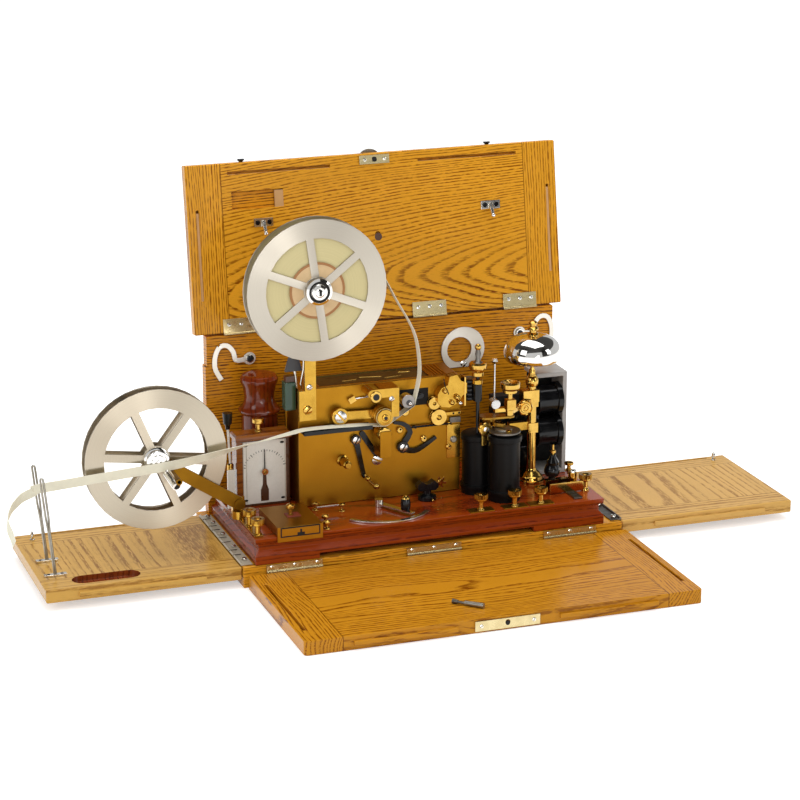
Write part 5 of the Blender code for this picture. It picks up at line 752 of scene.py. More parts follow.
def new_tree(name, inputs):
    """A geometry tree with named inputs: (tree, its input node's sockets, its output node)."""
    tree = bpy.data.node_groups.new(name, "GeometryNodeTree")
    tree.interface.new_socket(name="Geometry", in_out="INPUT", socket_type="NodeSocketGeometry")
    for label, kind in inputs:
        tree.interface.new_socket(name=label, in_out="INPUT", socket_type=kind)
    tree.interface.new_socket(name="Geometry", in_out="OUTPUT", socket_type="NodeSocketGeometry")
    entry = tree.nodes.new("NodeGroupInput")
    return tree, entry.outputs, tree.nodes.new("NodeGroupOutput")


def attribute(tree, name, kind):
    """A value that each point carries under a name."""
    return wire(tree, "GeometryNodeInputNamedAttribute", {"Name": name}, data_type=kind).outputs["Attribute"]


def make_repeat_tree():
    """Sets a copy of one shape on every point, turned to face the way the point says, and realises them."""
    inputs = [("Shape", "NodeSocketObject"), ("Finish", "NodeSocketMaterial")]
    tree, given, out = new_tree("shapes_on_points", inputs)
    shape = wire(tree, "GeometryNodeObjectInfo", {"Object": given["Shape"]}).outputs["Geometry"]
    way = attribute(tree, "facing", "FLOAT_VECTOR")
    facing = wire(tree, "FunctionNodeAlignRotationToVector", {"Vector": way}, axis="Z").outputs[0]
    about = {"Axis": (0, 0, 1), "Angle": attribute(tree, "turn", "FLOAT")}
    turn = wire(tree, "FunctionNodeAxisAngleToRotation", about).outputs[0]
    both = {"Rotation": facing, "Rotate By": turn}
    rotation = wire(tree, "FunctionNodeRotateRotation", both, rotation_space="LOCAL").outputs[0]
    size = attribute(tree, "size", "FLOAT")
    feeds = {"Points": given["Geometry"], "Instance": shape, "Rotation": rotation, "Scale": size}
    copies = wire(tree, "GeometryNodeInstanceOnPoints", feeds).outputs["Instances"]
    real = wire(tree, "GeometryNodeRealizeInstances", {"Geometry": copies}).outputs[0]
    coated = wire(tree, "GeometryNodeSetMaterial", {"Geometry": real, "Material": given["Finish"]}).outputs[0]
    tree.links.new(coated, out.inputs[0])
    return tree


REPEAT_TREE = make_repeat_tree()


def set_inputs(modifier, values):
    """Sets a geometry tree's inputs by the identifiers of their sockets."""
    for item in modifier.node_group.interface.items_tree:
        if item.item_type == "SOCKET" and item.in_out == "INPUT" and item.name in values:
            modifier[item.identifier] = values[item.name]


def slotted_head():
    """A screw head one metre in radius: a low dome with a straight slot."""
    cutter_mesh = bpy.data.meshes.new("slot_cutter")
    head_mesh = bpy.data.meshes.new("slotted_head")
    dome = turned([(1000, -300), (1000, 160), (930, 280), (620, 380), (250, 420)], (0, 0, 0), sides=24)
    for shape, mesh in ((dome, head_mesh), (block((-1200, 1200), (-160, 160), (-100, 1000)), cutter_mesh)):
        shape.to_mesh(mesh)
        shape.free()
    head, cutter = put_in_scene("slotted_head", head_mesh), put_in_scene("slot_cutter", cutter_mesh)
    change = head.modifiers.new("slot", "BOOLEAN")
    change.operation = "DIFFERENCE"
    change.object = cutter
    mesh = plain_mesh(head)
    for thing in (head, cutter):
        bpy.data.objects.remove(thing)
    return bpy.data.objects.new("slotted_head", mesh)


SCREW = slotted_head()


def screws(name, finish, node, rows):
    """Slotted screws on one node. rows are (point, facing, radius, the slot's turn in degrees)."""
    mesh = bpy.data.meshes.new(name + "_points")
    mesh.from_pydata([row[0] for row in rows], [], [])
    columns = (("facing", "FLOAT_VECTOR", "vector", [row[1] for row in rows]),
               ("size", "FLOAT", "value", [row[2] / 1000 for row in rows]),
               ("turn", "FLOAT", "value", [math.radians(row[3]) for row in rows]))
    for label, kind, field, values in columns:
        layer = mesh.attributes.new(label, kind, "POINT")
        for item, value in zip(layer.data, values):
            setattr(item, field, value)
    cloud = put_in_scene(name, mesh)
    grow = cloud.modifiers.new("repeat", "NODES")
    grow.node_group = REPEAT_TREE
    set_inputs(grow, {"Shape": SCREW, "Finish": M[finish]})
    made = plain_mesh(cloud)
    for label in ("facing", "size", "turn"):
        if label in made.attributes:
            made.attributes.remove(made.attributes[label])
    made.name = name
    made.shade_smooth()
    made.set_sharp_from_angle(angle=SHARP)
    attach(cloud, BODY_OF[node])


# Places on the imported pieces

SURFACES = {}


def surface(node):
    """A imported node's faces, ready for lines to be cast at them."""
    if node not in SURFACES:
        mesh = NODES[node].data
        SURFACES[node] = BVHTree.FromPolygons([corner.co for corner in mesh.vertices],
                                              [face.vertices for face in mesh.polygons])
    return SURFACES[node]


def face_of(node, x, z, y_from=IN_FRONT):
    """The point where a line from the front meets a piece."""
    hit = surface(node).ray_cast(mm(x, y_from, z), -FRONT)[0]
    return hit if hit else Vector((x / 1000, low_corner(node).y, z / 1000))


def top_of(node, x, y):
    """The point where a line from above meets a piece."""
    hit = surface(node).ray_cast(mm(x, y, ABOVE), -UP)[0]
    return hit if hit else Vector((x / 1000, y / 1000, high_corner(node).z))


def hub_of(node):
    """The point where a turning piece's axle meets its front face."""
    place = JOINTS[node + "_turn"]["pos_m"]
    return Vector((place[0], low_corner(node).y, place[2]))


def front_screw(name, finish, node, x, z, radius, turn):
    """One slotted screw on a node's front face."""
    screws(name, finish, node, [(face_of(node, x, z), FRONT, radius, turn)])


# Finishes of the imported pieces: material, width of the soft edges, and the nodes that have them

CASE_FINISHES = (
    ("oak_board", 0.5, "case_bottom"), ("oak_wall", 0.6, "back_wall"), ("oak_lid", 0.6, "lid"),
    ("oak_front", 0.6, "front_flap"), ("oak_left", 0.6, "left_flap"), ("oak_right", 0.6, "right_flap"),
    ("brass_pale", 0.2, "strike_plate lock_plate lid_hinge_1 lid_hinge_2 lid_hinge_3 lid_hinge_4"),
    ("brass_pale", 0.2, "front_hinge_left front_hinge_middle front_hinge_right"),
    # The left hinge leaf's pale paint is nickel with a painted gleam.
    ("pale_hinge", 0.2, "left_hinge_leaf"), ("dark_steel", 0.2, "right_hinge_leaf"),
    ("satin_nickel", 0.2, "left_hook right_hook ring_plate"),
)
INSTRUMENT_FINISHES = (
    ("mahogany", 0.6, "instrument_base"), ("brass_plate", 0.3, "movement_case"),
    ("supply_nickel", 0.2, "supply_reel"), ("wound_paper", 0.0, "paper_roll"),
    ("takeup_nickel", 0.2, "takeup_reel"), ("brass", 0.2, "reel_post"), ("brass_dull", 0.3, "takeup_arm"),
    ("brass", 0.2, "takeup_post"), ("tape", 0.0, "paper_tape"), ("japan", 0.2, "tape_channel"),
    ("brass", 0.2, "feed_roller lower_roller pressure_lever guide_bracket winding_arbor"),
    ("nickel", 0.2, "guide_pulley"), ("japan", 0.2, "start_lever writing_lever"), ("brass", 0.2, "ink_well"),
    ("silk", 0.2, "coil_left coil_right"), ("brown_brass", 0.2, "armature_lever"),
    ("brass_bright", 0.2, "contact_pillar"), ("brass_bright", 0.0, "bell_post"),
    ("steel", 0.2, "bell_clapper"),
    ("relay_paint", 0.4, "relay_frame"), ("black", 0.2, "relay_coils"), ("walnut", 0.3, "galvanometer_case"),
    ("slot_dark", 0.0, "galvanometer_needle"), ("handset", 0.3, "handset"),
    ("brass_plate", 0.2, "arrester_box"),
    ("steel", 0.2, "rotary_switch_base"), ("nickel", 0.2, "rotary_switch_arm"), ("black", 0.3, "plug_switch"),
    ("brass_bright", 0.2, "key_base key_lever"), ("dark_steel", 0.2, "terminal_plate"),
)
# Parts of a node in another finish: lowest corner, highest corner and material
PATCHES = {
    "left_flap": [((-366, -72, 15), (-295, -46, 20.8), "red_heartwood")],
    "instrument_base": [((-200, -90, 48.9), (200, 90, 80), "brass_bright")],
    # The movement's glazed top is painted near-black: painted shade inside the case.
    "movement_case": [((-100, 0, 156), (30, 42, 169.8), "slot_dark")],
    "start_lever": [((-52, -20, 55), (-36, 0, 79.5), "brass_bright")],
    "ink_well": [((52.3, -30, 130), (75, 0, 180), "japan")],
    "coil_left": [((40, -40, 165), (100, 20, 200), "brass_bright"),
                  ((40, -40, 114.6), (100, 20, 165), "black")],
    "coil_right": [((50, -70, 119.0), (120, -20, 130), "dark_steel")],
    "bell_clapper": [((80, -10, 172), (100, 10, 190), "chrome")],
    "galvanometer_case": [((-172.5, 15.7, 50), (-125, 16.4, 118), "ivory"),
                          ((-156, 15.0, 50), (-142, 15.65, 90), "umber"),
                          ((-165, 10, 124.9), (-140, 40, 145), "brass_bright")],
    "arrester_box": [((-150, -60, 60.5), (-130, -40, 80), "brass_bright")],
    "rotary_switch_arm": [((-36, -70, 52.6), (-14, -46, 65.6), "black"),
                          ((-36, -70, 65.6), (-14, -46, 72), "brass_bright")],
    "key_lever": [((125, -55, 61.6), (150, -20, 85), "black")],
}


def finish_nodes(table):
    """Gives each node of a table of finishes its own."""
    for finish, bevel, nodes in table:
        for node in nodes.split():
            finished(node, finish, bevel)


def dress_case():
    finish_nodes(CASE_FINISHES)


def dress_instruments():
    finish_nodes(INSTRUMENT_FINISHES)


# Small pieces of the case

def dress_lid():
    """Screws, brackets and lock pieces on the lid's inner face and top edge."""
    for number, across in enumerate((-152, -50, 50, 150), start=1):
        rows = [(on_lid(across + step, 9.5, -0.1), LID_FACING, 2.1, 20 + 50 * number + step * 3)
                for step in (-12.5, 0, 12.5)]
        screws(f"lid_hinge_{number}_screws", "steel", f"lid_hinge_{number}", rows)
    plate_face = middle("strike_plate") + LID_FACING * 0.0006
    rows = [(plate_face + mm(side, 0, 0), LID_FACING, 1.9, turn) for side, turn in ((-10.5, 40), (10.5, 110))]
    screws("strike_plate_screws", "nickel", "strike_plate", rows)
    # A dark disc paints the shade in the strike plate's hole.
    hole = disc(plate_face - LID_FACING * 0.0001, 2.6, 0.25, 0.1, LID_FACING)
    piece("strike_hole", "strike_plate", (hole, "slot_dark"))
    pins = LID_PIVOT * 1000
    brackets = []
    for left, right in ((-132, -112), (112, 133)):
        across = (left + right) / 2
        leaf = block((left, right), (pins.y + 0.4, pins.y + 2.0), (pins.z + 105, pins.z + 113.5), 0.3)
        brackets.append((leaned(leaf), "nickel"))
        for side in (-6.2, 6.2):
            brackets.append((disc(on_lid(across + side, 109.2, -0.4), 2.5, 0.9, 0.5, LID_FACING), "black"))
        start, end = on_lid(across, 110.5), on_lid(across, 98.5, 5.9)
        brackets += [(bar(start, end, 1.9), "nickel"), (ball(end, 2.3), "chrome")]
    piece("lid_catch_brackets", "lid", *brackets)
    lock_case = disc(on_lid(-1.3, 161.5, -16.8), 13.0, 1.8, 0.4, -LID_FACING)
    piece("lock_case_behind_lid", "lid", (lock_case, "grey_steel"))
    stud = [(2.6, -0.6), (1.8, 2.8), (3.6, 4.2), (3.4, 5.6)]
    piece("lid_top_studs", "lid", *[(turned(stud, on_lid(across, 168.3, -7.5), LID_UP, SMALL_SIDES), "black")
                                    for across in (-140, 124)])

    def inlay(across, up, depth, thick):
        """A strip of wood let into the lid's face; depth is how far below the face it lies."""
        floor = pins.y + LID_FACE_BACK + depth
        return leaned(block(across, (floor, floor + thick), (pins.z + up[0], pins.z + up[1]), 0.1))
    strips = [inlay((x, x + 2.6), (32.7, 122.9), 0.7, 1.0) for x in (-190.8, 185.6)]
    strips += [inlay((x, x + 107.2), (156.7, 159.3), 0.7, 1.0) for x in (-155.9, 46.1)]
    strips.append(inlay((-108.5, -99.0), (123.5, 140.7), 0.4, 1.6))
    slot_floor = inlay((-152.7, -108.5), (123.5, 140.7), 3.0, 0.8)
    # An umber disc paints the shade in the hole through the lid, and a small orange disc in it is a painted glint.
    hole = on_lid(-1.0, 85.3, -LID_FACE_BACK)
    glint = hole + LID_FACING * 0.0001 - mm(0.9, 0, 0.9)
    piece("lid_slot_floors", "lid", *[(strip, "slot_wood") for strip in strips], (slot_floor, "oak_wall"),
          (disc(hole, 3.9, 0.15, 0.05, LID_FACING), "umber"),
          (disc(glint, 2.0, 0.12, 0.05, LID_FACING), "card"))


def dress_wall():
    """The hooks' pivots, the left hook's stop pin and the ring plate's screw."""
    for node, x, z in (("left_hook", -144.3305, 183.8), ("right_hook", 149.3945, 183.8)):
        spot = face_of(node, x, z)
        piece(node + "_pivot", node, (disc(spot, 4.2, 0.5), "chrome"),
              (disc(spot + mm(0, -0.4, 0), 3.1, 1.3, 0.7), "black"))
    x, z = -176.6, 200.4
    pin = bar(face_of("back_wall", x, z, 70) + mm(0, 0.5, 0), mm(x, 72.5, z), 1.3)
    piece("hook_stop_pins", "back_wall", (pin, "nickel"))
    screws("ring_plate_screw", "chrome", "ring_plate", [(mm(86.5, 78.2, 156.6), FRONT, 3.6, 60)])


def dress_tape_guide(node):
    """A bent wire that stands on a small nickel leaf."""
    low, high = box_mm(node)
    x, y = (low.x + high.x) / 2, (low.y + high.y) / 2
    floor = low.z + 2.2
    foot, crown = mm(x, y, floor - 0.4), mm(low.x + 1.5, y, high.z - 2.0)
    rise = crown - foot
    gap = mm(1.4, 0, 0)
    left_leg = [foot - gap * 0.5, foot + rise * 0.45 - gap * 0.45, foot + rise * 0.62 - gap, crown - gap]
    right_leg = [point + gap * share for point, share in zip(left_leg, (1.0, 0.9, 2.0, 2.0))]
    up = rise.normalized() * gap.x
    bend = [crown + up * math.sin(a) - gap * math.cos(a) for a in (0.6, 1.2, 1.8, 2.5)]
    wires = tube(left_leg + bend + right_leg[::-1], 1.05, 8)
    leaf = block((low.x, high.x), (low.y, high.y), (low.z, floor), 0.3)
    # Dark discs paint the shade in the leaf's two holes.
    holes = [(disc(mm(x + side, y, floor - 0.1), 1.6, 0.2, 0.1, UP), "slot_dark") for side in (-6.5, 6.5)]
    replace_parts(piece(node + "_wires", node, (wires, "grey_steel"), (leaf, "nickel"), *holes), node)


def dress_flaps():
    """Hinge screws, the lock's hole, the flaps' eyes, the tape's wire guides and the loose key."""
    for side in ("left", "middle", "right"):
        node = "front_hinge_" + side
        low, high = box_mm(node)
        rows = []
        for share, turn in ((0.09, 70), (0.5, 40), (0.90, 25)):
            spot = face_of(node, low.x + (high.x - low.x) * share, 18.7)
            rows.append((spot + mm(0, HINGE_SCREW_SINK, 0), FRONT, 2.2, turn))
        screws(node + "_screws", "nickel", node, rows)
    low, high = box_mm("lock_plate")
    level = (low.z + high.z) / 2
    rows = [(mm(x, low.y, level), FRONT, 2.0, turn) for x, turn in ((-24.5, 25), (28.0, 60))]
    screws("lock_plate_screws", "nickel", "lock_plate", rows)
    # A dark disc paints the shade in the lock's keyhole.
    piece("lock_hole", "lock_plate", (disc(mm(1.8, low.y + 0.1, level), 2.2, 0.25, 0.1), "slot_dark"))
    for node, x, y in (("left_flap", -376, 66), ("right_flap", 375, 69)):
        foot = top_of(node, x, y)
        rim = [foot + mm(0, 2.6 * math.cos(a), 4.4 + 3.6 * math.sin(a)) for a in around(24)]
        piece(node + "_eye", node, (tube(rim, 1.0, 8, close=True), "nickel"),
              (disc(foot, 2.6, 1.0, 0, UP), "nickel"))
    for name in ("front", "rear"):
        dress_tape_guide("tape_guide_" + name)
    low, high = box_mm("left_hinge_leaf")
    across = (low.x + high.x) / 2 + 1.5
    rows = [(mm(across, y, high.z), UP, 2.4, turn)
            for y, turn in ((-62, 30), (-24, 75), (14, 10), (50, 120), (70, 45))]
    screws("left_hinge_screws", "nickel", "left_hinge_leaf", rows)
    joints = [(block((low.x - 0.1, high.x - 4), (y, y + 0.9), (high.z - 0.4, high.z + 0.1)), "slot_dark")
              for y in (-50, -36, -12, 2, 26, 38, 60)]
    piece("left_hinge_joints", "left_hinge_leaf", *joints)
    low, high = box_mm("right_hinge_leaf")
    across = (low.x + high.x) / 2
    rows = [(mm(across, y, high.z), UP, 2.8, turn) for y, turn in ((-68, 40), (-30, 15), (40, 70))]
    screws("right_hinge_screws", "nickel", "right_hinge_leaf", rows)
    shank = tube([mm(-34.5, -218, 16.4), mm(-27.5, -225, 16.2), mm(-25, -227.5, 16.2)], 1.3)
    grip = bar(mm(-26.5, -226, 16.4), mm(-12.6, -239.5, 16.6), 2.3, 2.6)
    head = bar(mm(-35.5, -217, 16.2), mm(-31.5, -221, 16.2), 2.4, 2.0)
    piece("loose_key", "front_flap", (shank, "dark_steel"), (grip, "grey_steel"), (head, "dark_steel"))


# Small pieces of the instruments

def dress_reels():
    """Hub nuts and caps, and the card and ring inside the paper roll."""
    x, _, z = SUPPLY_AXLE * 1000
    web = min(box_mm("paper_roll")[0].y, face_of("supply_reel", x + 8.0, z + 18.6).y * 1000)
    card = turned([(14.0, -0.2), (14.0, 0.2), (26.2, 0.2), (26.2, -0.2)], mm(x, web - 0.1, z), FRONT, 64)
    core = turned([(25.8, -0.2), (25.8, 0.3), (28.2, 0.3), (28.2, -0.2)], mm(x, web - 0.2, z), FRONT, 64)
    piece("paper_core", "supply_reel", (card, "card"), (core, "core_ring"))
    front = box_mm("supply_reel")[0].y
    hub = mm(x, front, z)
    nut = [(12.5, -3.0), (13.2, -2.2), (13.2, -1.6), (10.8, -0.7), (10.0, -1.6), (8.6, -1.2), (7.6, 0.3),
           (5.0, 1.0), (4.4, 0.2), (3.0, 0.2), (2.8, 1.3), (1.8, 1.6)]
    # The dark ring, dot and slot paint the shade in the nut's groove, hole and keyhole.
    groove = [(8.8, -1.4), (8.8, -0.8), (10.4, -0.8), (10.4, -1.4)]
    keyhole_slot = block((x - 1.0, x + 1.4), (front - 2.0, front - 1.4), (z - 3.2, z + 1.0))
    piece("supply_hub_nut", "supply_reel", (turned(nut, hub, FRONT, 48), "chrome"),
          (turned(groove, hub, FRONT, 48), "slot_dark"),
          (disc(hub + mm(0, -1.5, 1.4), 1.7, 0.5, 0.1), "slot_dark"),
          (keyhole_slot, "slot_dark"))
    x, _, z = TAKEUP_AXLE * 1000
    ring = [(12.5, -1.2), (12.5, 0.6), (11.0, 1.6), (9.2, 1.6), (8.6, 0.4), (8.0, -1.0)]
    hub = mm(x, box_mm("takeup_reel")[0].y, z)
    piece("takeup_hub_ring", "takeup_reel", (turned(ring, hub, FRONT, 48), "chrome"))
    cap = [(11.3, -0.3), (11.3, 0.6), (10.2, 1.2), (8.6, 1.2), (8.2, 0.5), (6.6, 0.5), (6.2, 1.8), (3.6, 2.0),
           (3.4, 0.8), (1.6, 0.8), (1.4, 2.2)]
    # The dark bar at the pin's end paints the shade in its hole.
    pin_start, pin_end = mm(-259.5, -26, 107.5), mm(-255.9, -47, 100.0)
    piece("takeup_arm_cap", "takeup_arm", (turned(cap, face_of("takeup_arm", x, z), FRONT, 48), "chrome"),
          (bar(pin_start, pin_end, 4.2), "chrome"),
          (bar(pin_end + mm(0, 0.5, 0.1), pin_end + mm(0, -0.3, -0.1), 2.9), "slot_dark"))


def dress_movement():
    """Screws, washers, arms and springs on the movement's front plate, and the faces of its rollers."""
    front_screw("reel_post_steel_screw", "steel", "reel_post", -108.5, 174, 3.1, 20)
    front_screw("reel_post_brass_screw", "brass_bright", "reel_post", -110.4, 150.6, 4.8, 48)
    pivot = face_of("pressure_lever", -78.3, 142.0)
    piece("pressure_lever_washer", "pressure_lever", (disc(pivot, 8.6, 0.9), "brass"))
    screws("pressure_lever_screw", "steel", "pressure_lever", [(pivot + mm(0, -1.0, 0), FRONT, 6.3, -50)])
    front_screw("start_lever_screw", "steel", "start_lever", -60.1, 114.3, 4.3, 60)
    front_screw("writing_lever_screw", "steel", "writing_lever", -10.3, 101.4, 4.3, 55)
    boss = face_of("guide_bracket", -45.5, 163.0)
    piece("guide_bracket_boss", "guide_bracket", (disc(boss, 5.8, 1.4), "brass_bright"),
          (disc(boss + mm(0, -1.3, 0), 3.4, 0.3, 0.1), "black"))
    front_screw("guide_bracket_screw", "steel", "guide_bracket", -29.0, 159.5, 2.8, 30)
    hub = hub_of("feed_roller")
    roller = [(9.6, -8), (9.6, -6.4), (8.6, -6.0), (8.6, -1.0), (8.0, 0.2), (5.4, 0.4), (5.0, -0.6),
              (3.4, -0.6), (3.2, 1.6), (2.4, 1.8)]
    piece("feed_roller_face", "feed_roller", (turned(roller, hub, FRONT), "brass"),
          (knurled(hub + mm(0, 5.8, 0), 9.3, 4.6), "brass_pale"),
          (disc(hub - mm(0, 1.7, 0), 1.9, 0.3, 0.1), "black"))
    hub = hub_of("lower_roller")
    piece("lower_roller_rim", "lower_roller", (disc(hub, 6.8, 0.8, 0.5), "brass_bright"),
          (disc(hub + mm(1.2, -0.7, 1.0), 1.2, 0.3, 0.1), "black"))
    hub = hub_of("guide_pulley")
    piece("guide_pulley_face", "guide_pulley", (disc(hub, 6.6, 0.5), "relay_paint"),
          (disc(hub + mm(0.6, -0.4, -1.2), 2.9, 0.9, 0.3), "slate"),
          (ball(hub + mm(1.6, -1.2, -2.2), 2.2), "chrome"))
    studs = []
    for x, z, radius, height in ((-13.4, 119.4, 3.4, 3.0), (12.2, 107.4, 3.4, 3.2), (39.1, 96.1, 2.8, 3.6),
                                 (-9.1, 139.2, 4.6, 6.5)):
        spot = face_of("movement_case", x, z)
        studs.append((disc(spot, radius, height, 0.8), "brass_bright"))
        # A small dark disc on each stud paints the shade in its hole.
        studs.append((disc(spot + mm(0.6, -height + 0.1, 0.8), radius * 0.32, 0.3, 0.1), "slot_dark"))
    for x, z, radius in ((21.9, 144.9, 6.4), (26.8, 129.9, 8.4)):
        spot = face_of("movement_case", x, z)
        studs += [(disc(spot - mm(0, start, 0), radius, 1.2, 0.3), "brass_bright") for start in (2.0, 6.0)]
        studs.append((disc(spot, radius * 0.45, 9.0), "brass"))
    piece("front_plate_studs", "movement_case", *studs)
    star = face_of("movement_case", 30.9, 58.9)
    upright = Matrix.Translation(star) @ Matrix.Rotation(QUARTER, 4, "X")
    prongs = [(moved(block((-1.2, 1.2), (-6.2, 6.2), (-0.4, 1.4), 0.3),
                     upright @ Matrix.Rotation(math.radians(turn), 4, "Z")), "brass_bright")
              for turn in (20, 80, 140)]
    piece("star_screw", "movement_case", (disc(star, 3.0, 1.8, 0.6), "brass_bright"), *prongs)
    front = face_of("movement_case", 46, 100).y * 1000
    piece("coil_bracket", "movement_case",
          (block((37.5, 51.5), (front - 1.6, front + 0.3), (84, 119), 0.3), "brass"),
          (disc(mm(44.5, front - 1.5, 103.5), 3.6, 1.8, 1.0), "grey_steel"))
    front = face_of("movement_case", -45, 105).y * 1000
    arm = plate(link((-53, 119.5), (-38.5, 96.0), 6.0, 4.8), front - 2.2, front - 0.2)
    piece("short_black_arm", "movement_case", (arm, "japan"))
    screws("bearing_screw", "steel", "movement_case", [(mm(-37.2, front - 0.2, 90.2), FRONT, 5.6, -25)])
    spring = [mm(-62.5, front - 2, 156.8), mm(-52, front - 2.4, 157.6), mm(-38, front - 2.4, 158.2)]
    tilt = Matrix.Translation(mm(-64, front, 156.4)) @ Matrix.Rotation(math.radians(-28), 4, "Y")
    piece("flat_spring", "movement_case",
          (moved(block((-3.6, 3.6), (-4.0, 0.0), (-3.0, 3.0), 0.4), tilt), "brass_bright"),
          (tube(spring, 0.7), "steel"))
    rod, level = front - 4, 121.5
    piece("thin_black_rod", "movement_case", (bar(mm(-1.5, rod, level), mm(41.0, rod, level), 1.1), "black"),
          *[(bar(mm(x, front + 0.2, level), mm(x, rod - 0.8, level), 1.6), finish)
            for x, finish in ((38.5, "brass"), (2.5, "black"))])


def dress_glass_top():
    """The movement's glazed top: a brass frame, dark glass whose colour paints the shade inside the case, the
    arbors that shine through it, and ribs.
    """
    top = box_mm("movement_case")[1].z
    x0, x1, y0, y1 = -96.0, 22.0, 0.5, 38.5
    glass = block((x0, x1), (y0, y1), (top - 1.4, top - 0.6))
    sides = (((x0 - 1.5, x1 + 1.5), (y0 - 1.5, y0 + 1.2)), ((x0 - 1.5, x1 + 1.5), (y1 - 1.2, y1 + 1.5)),
             ((x0 - 1.5, x0 + 1.2), (y0, y1)), ((x1 - 1.2, x1 + 1.5), (y0, y1)))
    rails = [(block(across, deep, (top - 1.0, top + 0.5), 0.2), "brass") for across, deep in sides]
    level = top - 0.55
    arbors = [(bar(mm(x - reach / 2, y, level), mm(x + reach / 2, y + reach * slant, level), 0.45),
               "brass_bright")
              for x, y, reach, slant in ((-60, 14, 15, 0.1), (-36, 22, 22, -0.2), (-14, 12, 18, 0.15),
                                         (2, 26, 12, -0.1))]
    piece("glass_top", "movement_case", (glass, "glass_with_painted_inner_shade"), *rails, *arbors)
    ribs = [(block((x, x + 1.6), (2, 38), (top - 0.4, top + 0.9), 0.2), finish)
            for x, finish in ((27.0, "brass"), (30.6, "brass_bright"), (34.2, "brass"),
                              (37.8, "brass_bright"))]
    piece("top_ribs", "movement_case", *ribs)


def dress_bell():
    """The polished gong with its turned brass finial."""
    x, y, _ = middle("bell_post")
    rim = Vector((x, y, low_corner("bell_gong").z))
    hollow = [(0, 24.2), (12.0, 23.6), (20.4, 20.2), (25.0, 15.8), (27.0, 10.0), (27.2, 5.0), (25.4, 0.4)]
    dome = [(27.2, 0.0), (28.7, 1.6), (29.3, 5.0), (29.2, 9.6), (28.2, 14.2), (25.8, 18.6), (21.8, 22.0),
            (16.4, 24.6), (10.4, 26.0), (5.2, 26.4), (0, 26.4)]
    finial = [(5.3, 26.2), (5.8, 27.4), (3.4, 28.8), (3.4, 30.4), (5.4, 31.2), (5.8, 33.0), (4.4, 34.6),
              (2.8, 35.2), (2.8, 36.4), (4.4, 37.2), (4.6, 39.0), (3.0, 40.4), (1.2, 40.8)]
    gong = piece("polished_gong", "bell_gong", (turned(hollow + dome, rim, UP, 72), "chrome"),
                 (turned(finial, rim, UP, 32), "brass_bright"))
    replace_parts(gong, "bell_gong")


def dress_contact():
    """Contact screw, its block and nuts, the pillar's profile, the lower clamp's arm and the coils behind."""
    x, y = 94.0, -35.0
    cup = [(2.2, -4.0), (2.6, -1.6), (7.6, 0.6), (9.8, 3.2), (10.0, 7.4), (9.2, 8.6), (7.2, 8.0), (4.0, 6.6)]
    nut = [(8.0, -2.0), (8.0, 0.96), (7.2, 1.92), (6.24, 0.96), (5.28, 0.96), (4.64, 2.08), (3.2, 2.08),
           (2.56, 1.12), (1.6, 1.12), (1.2, 2.4)]
    shapes = [(turned(cup, mm(x, y, 158.6), UP, 36), "brass_bright"),
              (bar(mm(x, y, 134.0), mm(x, y, 156), 2.1), "brass_bright"),
              (block((89.3, 98.7), (-39.2, -30.8), (138.4, 149.2), 0.4), "brass_bright"),
              (turned(nut, mm(115.6, -21.5, 134.0), FRONT, 36), "brass_bright"),
              (bar(mm(115.6, -20.5, 134.0), mm(117.5, -12.0, 134.0), 3.0), "brass"),
              (block((106.0, 126.5), (-4.5, 3.0), (104.5, 113.0), 0.3), "brass")]
    x, y, _ = middle("bell_post") * 1000
    pillar = [(14.6, 49.0), (14.6, 50.4), (12.6, 51.2), (12.2, 54.0), (10.4, 55.2), (9.2, 57.4), (6.4, 59.2),
              (4.9, 62.4), (4.9, 133.6), (5.5, 134.6), (5.5, 139.0), (5.5, 146.0), (4.2, 147.0), (4.2, 149.8),
              (6.0, 151.0), (6.8, 153.6), (6.8, 156.6), (5.6, 159.4), (4.0, 161.0), (4.0, 162.0),
              (3.4, 162.6), (3.4, 164.0)]
    shapes += [(turned(pillar, mm(x, y, 0), UP, 36), "brass_bright"),
               (block((x - 11.5, x + 5.8), (y - 6.0, y + 6.0), (134.0, 146.5), 0.4), "brass_bright")]
    piece("contact_fittings", "contact_pillar", *shapes)
    spool = [(16.5, 0), (16.5, 2.4), (14.6, 2.8), (14.6, 33.0), (16.5, 33.4), (16.5, 36.0)]
    piece("rear_relay_coils", "relay_frame",
          (block((102.0, 140.5), (30.0, 44.0), (48.9, 132.0), 1.0), "slot_dark"),
          (block((143.5, 173.0), (41.0, 42.8), (53.0, 154.5), 0.2), "slot_dark"),
          *[(turned(spool, mm(103.0, 27.0, level), RIGHT), "black") for level in (68.5, 109.5)])
    blade = plate(link((72.5, -29.0), (94.5, -35.0), 19.0, 8.0), 130.3, 132.5, "Z", 0.3)
    piece("armature_blade", "armature_lever", (blade, "brown_brass"))


